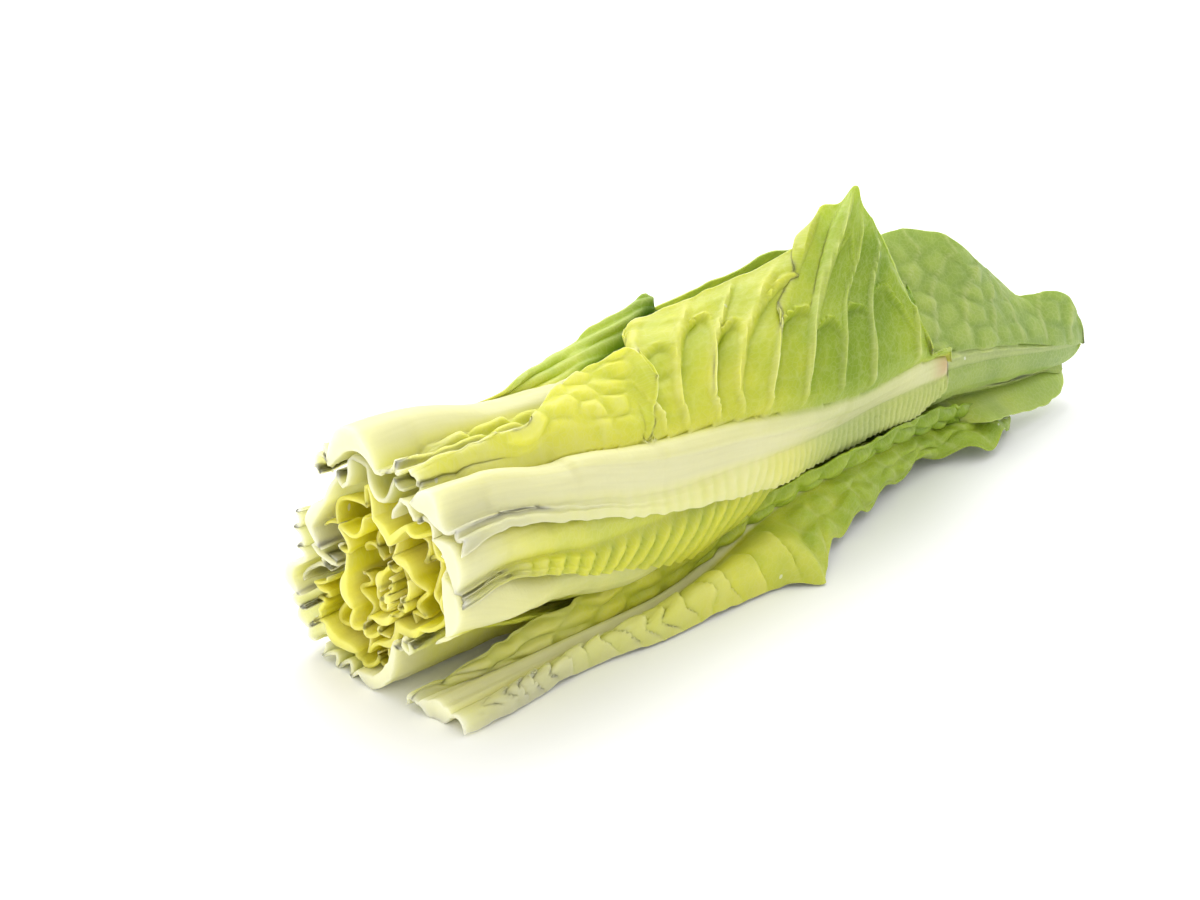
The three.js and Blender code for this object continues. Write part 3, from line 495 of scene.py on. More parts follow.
def leaf_material(name, ramp, rib_colour, cut_colour, gloss=0.25):
    """A living leaf: its colour runs along ramp with "green", pale on the rib, the veins and the
    knife's cut, darkened by painted shade in the hollows, mottled, with a fine net of veins, a
    waxy gloss and a few drops of water, their glint painted as a paler colour. Light goes deeper
    into it where "tender" is high, near the cut."""
    material = bpy.data.materials.new(name)
    material.use_nodes = True
    nodes, links = material.node_tree.nodes, material.node_tree.links
    shader = nodes["Principled BSDF"]

    def field(key):
        """The mesh's own value of that name."""
        node = nodes.new("ShaderNodeAttribute")
        node.attribute_name = key
        return node

    def math_node(operation, first, second):
        """One sum on two numbers or sockets."""
        node = nodes.new("ShaderNodeMath")
        node.operation = operation
        for socket, value in zip(node.inputs, (first, second)):
            if isinstance(value, (int, float)):
                socket.default_value = value
            else:
                links.new(value, socket)
        return node.outputs[0]

    def share_of(value, part):
        """value times part."""
        return math_node("MULTIPLY", value, part)

    def mix(amount, first, second, blend="MIX"):
        """From the first colour to the second, by amount."""
        node = nodes.new("ShaderNodeMix")
        node.data_type = "RGBA"
        node.blend_type = blend
        for k, value in ((0, amount), (6, first), (7, second)):
            if isinstance(value, tuple):
                node.inputs[k].default_value = (*value, 1)
            else:
                links.new(value, node.inputs[k])
        return node.outputs[2]

    def pattern(kind, scale, vector, detail=None):
        """A noise or cell texture on vector."""
        node = nodes.new("ShaderNodeTex" + kind)
        node.inputs["Scale"].default_value = scale
        if detail:
            node.inputs["Detail"].default_value = detail
        links.new(vector, node.inputs["Vector"])
        return node

    sheet = field("sheet").outputs["Vector"]
    mottle = pattern("Noise", MOTTLE, sheet, 4).outputs["Fac"]
    net = pattern("Voronoi", NET, sheet)
    net.feature = "DISTANCE_TO_EDGE"
    line = math_node("LESS_THAN", net.outputs["Distance"], 0.07)

    colour = nodes.new("ShaderNodeValToRGB")
    stops = colour.color_ramp.elements
    while len(stops) < len(ramp):
        stops.new(0.5)
    for k, (place, value) in enumerate(ramp):
        stops[k].position, stops[k].color = place, (*value, 1)
    spread = share_of(math_node("SUBTRACT", mottle, 0.5), 0.35)
    links.new(math_node("ADD", field("green").outputs["Fac"], spread), colour.inputs["Fac"])
    blade = mix(share_of(line, 0.08), colour.outputs["Color"], rib_colour)
    # Painted shade: the colour is darkened towards a dull green as far as the deep field goes.
    blade = mix(field("deep").outputs["Fac"], blade, HOLLOW_SHADE_TINT, "MULTIPLY")
    blade = mix(share_of(field("vein").outputs["Fac"], 0.6), blade, rib_colour)
    drawn = nodes.new("ShaderNodeVectorMath")
    drawn.operation = "MULTIPLY"
    links.new(sheet, drawn.inputs[0])
    drawn.inputs[1].default_value = STREAKS
    streak = pattern("Noise", 1, drawn.outputs[0], 3).outputs["Fac"]
    streaked = mix(streak, rib_colour, tuple(0.86 * c for c in rib_colour))
    blade = mix(field("rib").outputs["Fac"], blade, streaked)
    blade = mix(share_of(field("worn").outputs["Fac"], 0.8), blade, WORN_BROWN)
    blade = mix(share_of(field("cut").outputs["Fac"], 0.6), blade, cut_colour)
    spots = pattern("Voronoi", DROPS, sheet)
    chosen = nodes.new("ShaderNodeSeparateColor")
    links.new(spots.outputs["Color"], chosen.inputs[0])
    few = math_node("GREATER_THAN", chosen.outputs[0], DRY)
    drop = share_of(math_node("LESS_THAN", spots.outputs["Distance"], DROP), few)
    # Painted glint: the drops of water are lightened towards near white.
    blade = mix(share_of(drop, 0.35), blade, DROP_GLINT)
    links.new(blade, shader.inputs["Base Color"])

    rough = math_node("ADD", share_of(mottle, 0.25), 0.28)
    rough = math_node("SUBTRACT", rough, share_of(drop, 0.25))
    links.new(rough, shader.inputs["Roughness"])
    grain = pattern("Noise", GRAIN, sheet, 3).outputs["Fac"]
    height = math_node("ADD", share_of(net.outputs["Distance"], -0.35), grain)
    height = math_node("ADD", height, share_of(drop, 1.5))
    bump = nodes.new("ShaderNodeBump")
    bump.inputs["Strength"].default_value = 0.35
    bump.inputs["Distance"].default_value = BUMP
    links.new(height, bump.inputs["Height"])
    links.new(bump.outputs["Normal"], shader.inputs["Normal"])
    shader.inputs["Subsurface Weight"].default_value = 0.85
    shader.inputs["Subsurface Radius"].default_value = (1.0, 1.0, 0.7)
    depth = math_node("ADD", share_of(field("tender").outputs["Fac"], DEEPER), SHALLOW)
    links.new(depth, shader.inputs["Subsurface Scale"])
    shader.inputs["Specular IOR Level"].default_value = gloss
    return material


HEART_RAMP = [(0, (0.84, 0.76, 0.14)), (0.3, (0.80, 0.69, 0.01)), (0.6, (0.66, 0.62, 0.01)),
              (1, (0.40, 0.50, 0.02))]
CREAM = (0.84, 0.76, 0.17)
heart_yellow = leaf_material("heart_leaf", HEART_RAMP, CREAM, (0.88, 0.79, 0.13), 0.12)

# A leaf's sizes, those in lists along its length: "end" is its length, "turn" where its rib lies
# round the heart, "left" and "right" its half widths and "green" how green it is. "round" is the
# length of its round end, "folds" how many crinkles each side has, and "grid" its rows' spacing
# near the cut and beyond, and its columns to a side. A leaf's "relief" gives fields of its own:
# "height" is laid into the pile, "raised" is added at the end, and the material reads the others.
# The deep field is painted shade: the material darkens the colour by it in hollows, creases and folds.
bud = {
    "name": "bud_leaf", "slot": "yellow_leaf", "seed": 11, "end": 60, "round": 5,
    "turn": [(0, 10), (60, 10)], "rib_width": 1.6, "rib_height": 0.9, "folds": 3, "crinkle": 0.8,
    "frill": 0.6, "left": [(0, 6), (18, 6), (41, 7), (54, 5), (60, 2)],
    "right": [(0, 6), (18, 6), (41, 7), (54, 5), (60, 2)],
    "green": [(0, 0.3), (60, 0.5)], "grid": (0.6, 2.0, 26),
}
lay(bud)
grow(bud, heart_yellow)

# ======== the seven heart leaves ========
# Short leaves that never saw the light, so they stay yellow. Each wraps the ones inside it, with a
# crisp pale rib, and its blade is crinkled so tightly at the base that the cut shows it as loops.


def heart_leaf(number, slot, turn, length, base, widest, rib, folds, crinkle):
    """A heart leaf's sizes: widest two thirds of the way along. rib is its half width and height
    at the cut."""
    half = [(0, base), (length * 0.3, base), (length * 0.68, widest), (length * 0.9, widest * 0.72),
            (length, 2)]
    seed = 11 + 10 * number
    return {"name": f"heart_leaf_{number}", "slot": slot, "seed": seed, "end": length, "round": 8,
            "turn": [(0, turn), (length, turn)], "left": half, "right": half,
            "rib_width": rib[0], "rib_height": rib[1], "folds": folds, "crinkle": crinkle,
            "frill": 0.6, "base": 0.3, "set_back": (seed * 0.37) % 2.6,
            "green": [(0, 0.26), (10, 0.38), (60, 0.6), (length, 0.9)],
            "grid": (0.65, 3.0, 34 + int(length / 14))}


for leaf in (
    heart_leaf(1, "yellow_leaf", 147, 84, 10, 11, (2.4, 0.9), 4, 1.3),
    heart_leaf(2, "yellow_leaf", 275, 108, 13, 14, (3.2, 1.1), 5, 1.8),
    heart_leaf(3, "yellow_leaf", 52, 128, 15, 18, (4, 1.4), 5, 2.1),
    heart_leaf(4, "yellow_green_leaf", 190, 148, 17, 23, (4.8, 1.6), 5, 2.4),
    heart_leaf(5, "yellow_green_leaf", 300, 166, 17, 27, (5.4, 1.8), 5, 2.5),
    heart_leaf(6, "yellow_green_leaf", 75, 182, 18, 31, (5.5, 2), 5, 2.6),
    heart_leaf(7, "yellow_green_leaf", 232, 196, 19, 34, (6, 2.1), 6, 2.6),
):
    lay(leaf)
    grow(leaf, heart_yellow)

# ======== the side leaf ========
# A leaf whose thick pale rib runs along the near side, low down; its grey-green end sticks out at
# the far end as a smooth lobe, under the tip leaf.


def cells(u, v, seed):
    """Uneven cells: one seeded point in each whole square of u and v. Returns how far a place is
    from the border of its cell, and its cell's own value from 0 to 1."""
    rng = np.random.default_rng(seed)
    offset = rng.uniform(0.15, 0.85, (2, DRAWS, DRAWS))
    own = rng.uniform(0, 1, (DRAWS, DRAWS))
    i, j = np.floor(u).astype(int), np.floor(v).astype(int)
    first = second = np.full(u.shape, 9.0)
    value = np.zeros(u.shape)
    for m in (-1, 0, 1):
        for n in (-1, 0, 1):
            p, q = (i + m) % DRAWS, (j + n) % DRAWS
            distance = np.hypot(i + m + offset[0, p, q] - u, j + n + offset[1, p, q] - v)
            nearer = distance < first
            second = np.where(nearer, first, np.minimum(second, distance))
            value = np.where(nearer, own[p, q], value)
            first = np.minimum(first, distance)
    return second - first, value


VEIN = 0.7  # half the width of a side vein at the rib


def vein_field(y, across, share, spacing, sweep, seed):
    """Side veins: they leave the rib spacing mm apart and run tipwards by sweep mm along the way.
    Returns each place's position between two veins, 0 to 1, its strip's number, and how much of
    a vein it is, falling off as a bell curve of the distance."""
    lane = (y - through(sweep, np.abs(across))) / spacing
    lane = lane + 0.22 * noise(lane * 0.7 + 9 * (across > 0), np.abs(across) / 14, seed)
    strip = np.floor(lane)
    place = lane - strip
    away = np.minimum(place, 1 - place) * spacing
    return place, strip, np.exp(-(away / (VEIN * (1.15 - 0.6 * share))) ** 2)


def blisters(spacing, sweep, height, cell, seed):
    """Relief of a blade that swells outwards between its side veins: sin of the place between two
    veins, broken into uneven domes about cell mm long, and slight at the cut."""
    def relief(leaf, y, across, share):
        """The fields of that relief, with the swell as height."""
        place, strip, vein = vein_field(y, across, share, spacing, sweep, seed)
        border, own = cells(strip * 0.5 + place * 1.2, np.abs(across) / cell, seed + 1)
        dome = np.sin(math.pi * place) ** 0.7 * (0.55 + 0.45 * ease(border * 2.2))
        rise = height * dome * (0.7 + 0.5 * own) * ease(share * 5) * ease((y - 3) / 25)
        # deep paints shade between the domes.
        return {"height": rise, "vein": vein * ease(share * 8) * 0.3,
                "deep": 0.4 * (1 - dome) * ease(share * 5), "green": 0.12 * dome * ease(share * 4)}
    return relief


LEAF_RAMP = [(0, (0.80, 0.77, 0.30)), (0.3, (0.68, 0.66, 0.07)), (0.62, (0.33, 0.42, 0.03)),
             (1, (0.12, 0.23, 0.01))]
GREY_RAMP = [(0, (0.80, 0.77, 0.32)), (0.3, (0.66, 0.65, 0.055)), (0.62, (0.33, 0.42, 0.075)),
             (1, (0.17, 0.26, 0.07))]
PALE_RIB = (0.72, 0.70, 0.40)
light_green = leaf_material("light_green_leaf", LEAF_RAMP, PALE_RIB, (0.88, 0.86, 0.52))
grey_green = leaf_material("grey_green_leaf", GREY_RAMP, PALE_RIB, (0.88, 0.86, 0.50))

side = {
    "name": "side_leaf", "slot": "light_green_leaf", "seed": 111, "end": 250, "round": 12,
    "turn": [(0, 366), (12, 361), (30, 347), (49, 336), (70, 330), (110, 324), (180, 314), (215, 313),
             (250, 320)],
    "rib_width": [(0, 6.3), (30, 5.6), (70, 4.2), (110, 3), (190, 1.5), (250, 0.5)], "rib_height": 3.8,
    "run_out": 110, "rib_fade": [(0, 0.5), (30, 1.3)], "folds": 3, "crinkle": 0.7, "frill": 0.5,
    "nick": 0.35, "scallop": 0.06,
    "stand": [(0, 0), (12, 1.5), (30, 4), (49, 9), (70, 9.5), (90, 6), (115, 2), (140, 0)],
    "left": [(0, 12), (16, 10.5), (60, 10), (100, 9), (150, 10), (190, 9), (205, 9), (230, 9),
             (250, 5)],
    "right": [(0, 13), (16, 15), (38, 16), (60, 15), (80, 13), (110, 10), (150, 8), (190, 9),
              (205, 10), (230, 9), (250, 5)],
    "wings": [{"side": 1, "from": 184, "blend": 16,
               "margin": [(184, 14, 22), (205, 9, 20), (215, 6, 18.5), (230, 7, 15), (243, 12, 9),
                          (250, 15, 5)]},
              {"side": -1, "from": 184, "blend": 16,
               "margin": [(184, 21, 12), (205, 21, 9), (215, 19, 6.5), (230, 19, 4.5),
                          (243, 17.5, 4.5), (250, 16, 5)]}],
    "green": [(0, 0.24), (40, 0.4), (100, 0.48), (190, 0.64), (250, 0.72)], "grid": (0.8, 1.15, 40),
}


SIDE_SCALLOP, SIDE_SWELL = 5, 1.3  # how long and high its scallops are


def side_relief(leaf, y, across, share):
    """Scallops along the lower margin, |cos|, as far as the heart's middle."""
    scallop = np.abs(np.cos(math.pi * (y + 1.5 * noise(y / 9, 0 * y, 116)) / SIDE_SCALLOP))
    return {"height": SIDE_SWELL * (across < 0) * share**1.5 * scallop * ease((150 - y) / 40)}


side["relief"] = side_relief
lay(side)
grow(side, grey_green)

# ======== the tip leaf ========
# The longest leaf. Its pleated lower wing, yellow, lies over the side leaf, and its upper wing is
# the heart's grey-green end, drawn up like a tent from its thin rib, past the ends of the others.

tip = {
    "name": "tip_leaf", "slot": "light_green_leaf", "seed": 91, "end": 255.3, "round": 6,
    "turn": [(0, 22), (110, 8), (200, 10), (256, -4)],
    "rib_width": [(0, 7.2), (120, 4), (180, 2.6), (215, 1.7), (240, 0.9), (256, 0.5)],
    "rib_height": 3.2, "run_out": 60, "rib_fade": [(0, 0.6), (16, 2), (130, 2), (190, 1)],
    "folds": 4, "crinkle": 1.8, "right_crinkle": 0.2, "frill": 1, "scallop": 0.015, "nick": 0.25,
    "stand": [(0, 0), (60, 0), (80, 2), (98, 4), (120, 2), (140, 0)],
    "left": [(0, 31), (40, 30), (80, 28), (160, 38), (200, 40), (216, 30), (226, 20), (231, 15),
             (235, 19), (246, 18), (251, 14), (255.3, 6)],
    "right": [(0, 10), (14, 8), (30, 10), (55, 14.5), (76, 16.5), (98, 17), (140, 16), (176, 12),
              (196, 9.5), (222, 9), (244, 6), (256, 2)],
    "wings": [{"side": 1, "from": 158, "blend": 20,
               "margin": [(158, 0, 62), (180, -6, 61), (200, -2, 58), (207, 2, 53), (228, 3, 37),
                          (231, 6, 33), (241, 10, 33), (249, 12, 30), (256, 13, 23)]}],
    "green": [(0, 0.1), (14, 0.26), (30, 0.4), (90, 0.46), (150, 0.6), (200, 0.78), (256, 0.84)],
    "grid": (0.8, 0.95, 52),
}


TIP_VEINS, TIP_SWEEP = 13, [(0, 0), (20, 6), (34, 22)]  # how far apart, and how they bend
TIP_PLEATS = 5.4  # how far apart they are
PLEAT_HEIGHT, BUMP_HEIGHT, VEIN_HEIGHT = 1.8, 0.9, 0.45


def tip_relief(leaf, y, across, share):
    """Faint side veins that arch over the upper wing, with low bumps from cells towards its end,
    and rounded pleats, |cos|, on the lower wing below the front leaf."""
    vein = vein_field(y, across, share, TIP_VEINS, TIP_SWEEP, 95)[2] * (across > 0)
    far_end = (across > 0) * ease((y - 150) / 30)
    border, own = cells(y / 9, np.abs(across) / 8, 97)
    bump = ease(border * 1.6) * (0.4 + 0.6 * own) * far_end * ease((1 - share) * 5)
    pleat = (y + 0.9 * np.abs(across)) / TIP_PLEATS
    pleat = np.abs(np.cos(math.pi * pleat + 1.2 * noise(y / 15, across / 9, 96)))
    on_lower = (across < 0) * ease(share * 3) * ease((185 - y) / 20) * ease((y - 8) / 20)
    # deep paints shade between the pleats and round the bumps.
    return {"height": PLEAT_HEIGHT * on_lower * pleat,
            "raised": BUMP_HEIGHT * bump + VEIN_HEIGHT * vein * ease(share * 4),
            "vein": 0.35 * vein * ease(share * 6), "green": -0.1 * (on_lower * pleat + bump),
            "deep": 0.6 * on_lower * (1 - pleat) + 0.3 * (1 - bump) * far_end}


tip["relief"] = tip_relief
lay(tip)
grow(tip, grey_green)

# ======== the back leaf ========
# A green leaf over the upper left, mostly hidden by the left leaf; its tightly crinkled base shows
# in the cut.

back = {
    "name": "back_leaf", "slot": "green_leaf", "seed": 101, "end": 232, "round": 12, "run_out": 90,
    "turn": [(0, 150), (238, 122)], "rib_width": 5.5, "rib_height": 1.9, "folds": 6, "crinkle": 2.8,
    "frill": 1,
    "left": [(0, 17), (70, 24), (150, 36), (205, 30), (238, 3)],
    "right": [(0, 34), (36, 30), (70, 26), (150, 30), (180, 15), (220, 10), (238, 3)],
    "green": [(0, 0.06), (20, 0.14), (60, 0.45), (150, 0.8), (238, 0.95)],
    "relief": blisters(7, [(0, 0), (40, 26)], 0.8, 10, 105), "grid": (0.8, 1.7, 44),
}
lay(back)
grow(back, grey_green)

# ======== the under leaf ========
# The leaf that the heart lies on, pale outside. Its broad rib is thick halfway along, where it
# carries the pile.

under = {
    "name": "under_leaf", "slot": "light_green_leaf", "seed": 121, "end": 232, "round": 16,
    "turn": [(0, 276), (60, 268), (232, 268)], "rib_width": 8, "rib_height": 3.8,
    "rib_depth": [(0, 0.9), (35, 1.6), (110, 1.6), (180, 1.4), (232, 0.3)],
    "folds": 6, "crinkle": 2.4, "frill": 0.6, "rib_fade": [(0, 1.5), (12, 2.6)],
    "left": [(0, 17), (30, 13), (70, 12), (150, 14), (180, 12), (232, 3)],
    "right": [(0, 19), (70, 24), (150, 34), (196, 24), (232, 4)],
    "green": [(0, 0.12), (12, 0.26), (60, 0.32), (150, 0.5), (222, 0.75)],
    "relief": blisters(7, [(0, 0), (40, 26)], 0.5, 10, 125), "grid": (0.8, 1.4, 44),
}
lay(under)
grow(under, grey_green)

# ======== the left leaf ========
# A large leaf round the left side, pale at the cut and green beyond; the margin of its right wing
# stands free and shows along the top, behind the front leaf's ridge.

left = {
    "name": "left_leaf", "slot": "green_leaf", "seed": 131, "end": 232, "round": 12, "run_out": 80,
    "turn": [(0, 186), (232, 172)], "rib_width": 6, "rib_height": 2.2, "folds": 6, "crinkle": 2.3,
    "frill": 1,
    "left": [(0, 19), (70, 28), (150, 40), (205, 32), (232, 3)],
    "right": [(0, 18), (40, 22), (70, 30), (92, 38), (110, 44), (140, 46), (160, 38), (190, 28),
              (232, 3)],
    "wings": [{"side": -1, "from": 84, "blend": 16,
               "margin": [(84, -16, 55), (100, -13, 60), (110, -8.5, 63), (125, -6, 66),
                          (140, -3.5, 68), (160, -6, 62), (200, -10, 50), (232, -10, 40)]}],
    "green": [(0, 0.05), (20, 0.12), (60, 0.45), (100, 0.5), (150, 0.6), (232, 0.9)],
    "relief": blisters(8, [(0, 0), (46, 30)], 0.8, 11, 135), "grid": (0.8, 1.2, 50),
}
lay(left)
grow(left, grey_green)

# ======== the top leaf ========
# A leaf with a broad white rib along the top; its right wing is yellow and blistered, and its left
# wing ends in a light green flap that curls over.

top = {
    "name": "top_leaf", "slot": "yellow_green_leaf", "seed": 141, "end": 182, "round": 8,
    "turn": [(0, 108), (40, 104), (90, 90), (182, 88)], "rib_height": 4.4,
    "slant": [(0, 0.2), (60, 0)],
    "rib_width": [(0, 8.5), (27, 8), (43, 6.5), (58, 4.5), (75, 2.5), (182, 1.5)],
    "folds": 5, "crinkle": 2.2, "right_crinkle": 0.4, "frill": 1,
    "left": [(0, 15), (40, 13), (60, 15), (80, 19), (94, 22), (98, 23), (101, 18), (104, 8),
             (182, 3)],
    "right": [(0, 19), (45, 21), (80, 26), (140, 26), (170, 18), (182, 3)],
    "wings": [{"side": 1, "from": 36, "blend": 10,
               "margin": [(36, -5, 54), (45, -8, 55.5), (70, -15.6, 56.5), (90, -14.5, 61),
                          (98, -13, 63), (104, -12, 57), (182, -6, 40)]}],
    "green": [(0, 0.2), (40, 0.34), (72, 0.4), (100, 0.6), (182, 0.9)],
    "grid": (0.7, 1.0, 50),
}
FOLD = [(60, 3), (72, 6), (86, 11), (98, 18)]  # the fold across the flap, from the rib
FOLD_WIDTH, FOLD_DEPTH = 2.8, 2.5
RIDGES, RIDGE_HEIGHT = 3.4, 0.7  # how far apart and how high the flap's ridges are
LUMP_LENGTH, LUMP_WIDTH, LUMP_HEIGHT = 8.5, 7, 2.2  # the right wing's lumps


def lumps(y, away):
    """Uneven lumps, 0 to 1, from cells."""
    border, own = cells(y / LUMP_LENGTH, away / LUMP_WIDTH + 3, 145)
    return ease(border * 1.7) * (0.45 + 0.55 * own)


def top_relief(leaf, y, across, share):
    """Uneven lumps all over the right wing, from cells, with painted shade between them; the left
    wing has fine lengthwise ridges, and a fold runs over it to its corner, as a bell curve across
    it, sunk and painted dark green as shade."""
    away_from_cut = ease((y - 8) / 16)
    lump = lumps(y, np.abs(across)) * away_from_cut
    on_right = (across < 0) * ease(share * 6) * away_from_cut
    on_flap = (across > 0) * ease((y - 40) / 12) * ease((110 - y) / 8)
    fold = np.exp(-(((across - through(FOLD, y)) / FOLD_WIDTH) ** 2))
    fold = fold * on_flap * ease((y - 60) / 12)
    ribbed = 2 * math.pi * (across - 0.12 * y) / RIDGES + noise(y / 14, across / 6, 146)
    ribbed = 0.5 + 0.5 * np.cos(ribbed)
    # deep paints shade between the lumps and in the fold; the fold's added green is painted shade too.
    return {"height": LUMP_HEIGHT * lump * on_right,
            "raised": (RIDGE_HEIGHT * ribbed - FOLD_DEPTH * fold) * on_flap,
            "deep": 0.45 * (1 - lump) * on_right + fold,
            "vein": 0.25 * ribbed * on_flap * (1 - fold),
            "green": 0.35 * fold + 0.3 * on_flap * share - 0.1 * lump * on_right}


top["relief"] = top_relief
lay(top)
grow(top, light_green)

# ======== the front leaf ========
# The outermost leaf on the near side: a long cream rib with a broken end, and a broad wing drawn
# up over the top into a peak, with raised side veins and deep pockets between them.

front = {
    "name": "front_leaf", "slot": "light_green_leaf", "seed": 151, "end": 182, "round": 2,
    "turn": [(0, 46), (32, 34.5), (70, 21), (112, 7), (140, 1), (155, 5), (172, 10), (182, 12)],
    "rib_width": [(0, 6.8), (40, 6), (75, 5.6), (110, 4.7), (145, 4.3), (176, 3.6), (182, 3.2)],
    "rib_height": 4.6, "power": 2.3, "slant": [(0, 0.8), (60, 0.6), (182, 0.3)], "run_out": 2,
    "folds": 4, "crinkle": 1.1, "right_crinkle": 0.5, "frill": 0.9, "scallop": 0.01,
    "left": [(0, 13), (16, 15), (28, 17), (34, 20), (40, 24), (48, 31), (56, 35), (60, 33),
             (61.2, 22), (62.4, 24), (64, 36), (72, 42), (86, 50), (95, 59), (98, 58), (102, 66),
             (113, 70), (126, 60), (138, 50), (150, 37), (160, 22), (166, 8), (169, 5.4), (182, 4)],
    "right": [(0, 12.5), (14, 10), (30, 9.5), (45, 9.5), (72, 10.3), (113, 12.8), (140, 11.5),
              (155, 12), (170, 11), (182, 7)],
    "wings": [{"side": 1, "from": 14, "blend": 14, "bend": 1.25, "clear": 3,
               "sweep": [(0, 0), (30, 6), (50, 12), (64, 16)],
               "margin": [(14, 7, 16, 57), (28, 11.5, 30, 56.5), (34, 9, 38, 57.5),
                          (40, 6, 47, 58.5), (48, 4.5, 56, 60), (56, 4.5, 67, 61.5),
                          (60, 6, 73, 61.5), (61.2, 14, 71, 58), (62.4, 11, 73, 59),
                          (64, -5, 80, 60.5), (72, -3, 97, 64), (86, -2, 118, 66),
                          (95, 0.5, 137, 69.5), (98, 0, 144, 70.5), (102, -2.5, 149, 76),
                          (110, -1, 156, 76.5), (113, -0.5, 160, 79.6), (126, 2.5, 161, 76),
                          (138, 6, 162, 70), (150, 11, 163, 62), (160, 17, 165, 49),
                          (166, 20.5, 168, 39), (170, 20, 171, 37), (182, 18, 182, 35.5)]}],
    "green": [(0, 0.2), (60, 0.33), (84, 0.36), (100, 0.44), (113, 0.56), (138, 0.74), (160, 0.6),
              (190, 0.6)],
    "grid": (0.65, 0.68, 70),
}
SIDE_VEINS = np.array([0, 20, 33, 49, 67, 74, 84, 91, 100, 113, 126, 138, 160, 200.0])  # at the rib
STRENGTH = np.array([0, 0.3, 0.5, 0.7, 1, 0.7, 1, 0.5, 1, 1, 0.7, 1, 1, 0])  # how thick each is
# The share of the way to the margin that the pocket after each vein reaches.
ARCH_TOPS = np.array([0.5, 0.5, 0.6, 0.6, 0.66, 0.75, 0.66, 0.8, 0.53, 0.38, 0.5, 0.66, 1])
SWELL, RAISED_VEIN = 2.2, 0.7  # how high the wing and the veins on it stand
POCKET, ARCH_WALL = 4.2, 0.1  # how deep a pocket is, and what share of it its arched end takes
TEAR = 61.5  # where the wing's margin is torn in to a slit
PLEATS = [(0, 6), (190, 3.2)]  # how far apart the lower wing's pleats are


def front_relief(leaf, y, across, share):
    """Raised side veins, each from its own place on the rib. Between two of them the blade sinks
    into pockets, deepest beside the vein towards the cut, and each ends in a steep arch towards
    the margin. Nearer the cut it swells into lumps; the narrow lower wing is closely pleated."""
    away = np.abs(across) - rib_half(leaf, y, half_width(leaf, y, across))
    bent = y + 0.9 * noise(away / 10, y / 22, 157) + 1.2 * ease(away / 8) - 3 * ease(away / 40 - 0.5)
    lane = np.clip(np.searchsorted(SIDE_VEINS, bent, side="right") - 1, 0, len(SIDE_VEINS) - 2)
    before, after = SIDE_VEINS[lane], SIDE_VEINS[lane + 1]
    place = np.clip((bent - before) / (after - before), 0, 1)
    width = 0.75 - 0.35 * share
    vein = STRENGTH[lane] * np.exp(-(((bent - before) / width) ** 2))
    vein = np.maximum(vein, STRENGTH[lane + 1] * np.exp(-(((after - bent) / width) ** 2)))
    row = share / ARCH_TOPS[lane] + 0.22 * (2 * place - 1) ** 2 + 0.1 * noise(bent / 7, away / 9, 155)
    tier = np.floor(row)
    inside = row - tier
    size = (0.75 + 0.3 * noise(lane * 2.7, tier * 1.9 + 0.3, 159)) * np.where(tier > 0, 0.6, 1)
    pocket = size * ease(place / 0.22) * (1 - place) ** 0.6 * 1.25
    pocket = pocket * (0.45 + 0.55 * ease(inside * 1.3)) * ease((1 - inside) / ARCH_WALL)
    fine = np.exp(-((cells(bent / 4.6, away / 5.2, 160)[0] / 0.1) ** 2))
    grown = ease(away / 5) * ease((y - 40) / 26) * ease((1.0 - share) * 6)
    near_cut = ease((76 - y) / 18) * ease((y - 12) / 16) * ease((away - 4) / 5)
    lump = lumps(y, away) * near_cut * ease(np.abs(y - TEAR) / 4 - 0.3)
    wing = SWELL + RAISED_VEIN * vein - POCKET * pocket * (1 - 0.4 * share) + 0.12 * fine
    wing = wing * grown * (1 - 0.75 * near_cut) + 2 * lump
    pleat = 2 * math.pi * (y + 0.35 * away) / through(PLEATS, y)
    pleat = 0.5 + 0.5 * np.cos(pleat + 2 * noise(y / 12, away / 8, 158))
    drawn = (0.5 * vein * (1 - 0.5 * share) + 0.15 * fine) * ease(share * 8) * ease(y / 50)
    upper = across > 0
    # deep paints shade in the pockets and between the lower wing's pleats.
    return {"height": np.where(upper, 0, 0.5 * pleat * ease(share * 3) * ease((y - 30) / 60)),
            "raised": np.where(upper, wing, 0),
            "worn": ease((y - 172) / 8) * ease(0.3 - away / 3),
            "vein": np.where(upper, drawn, 0.4 + 0.2 * pleat),
            "deep": np.where(upper, pocket * grown * (1 - 0.3 * share),
                             0.2 * (1 - pleat) * ease(y / 90)),
            "green": np.where(upper, 0.1 * share - 0.15 * lump, -0.3 + 0.35 * ease((y - 90) / 60))}


front["relief"] = front_relief
lay(front)
grow(front, light_green)

# ======== the floor leaf ========
# The leaf that slipped off the pile. Its rib lies flat on the table; its near half rolls over beside
# it in overlapping scales, white at the base and then yellow, as far as a torn corner, and its far
# half climbs the heart.

floor_leaf = {
    "name": "floor_leaf", "slot": "light_green_leaf", "seed": 161, "end": 218, "round": 6,
    "rib_width": [(0, 4.4), (30, 3), (60, 2.4), (110, 1.4), (218, 0.6)], "rib_height": 4,
    "rib_depth": [(0, 1), (60, 0.95), (110, 0.45), (218, 0.1)], "nick": 0.5,
    "left": [(0, 10), (30, 13), (85, 14), (110, 10), (160, 8), (200, 9), (218, 4)],
    "right": [(0, 14), (40, 16), (80, 24), (100, 27), (106, 32), (110, 31), (118, 25), (130, 20),
              (160, 15), (184, 16), (204, 18), (214, 14), (218, 9)],
    "green": [(0, 0), (34, 0.06), (56, 0.2), (85, 0.34), (105, 0.48), (150, 0.62), (218, 0.74)],
    "grid": (0.8, 0.8, 56),
}
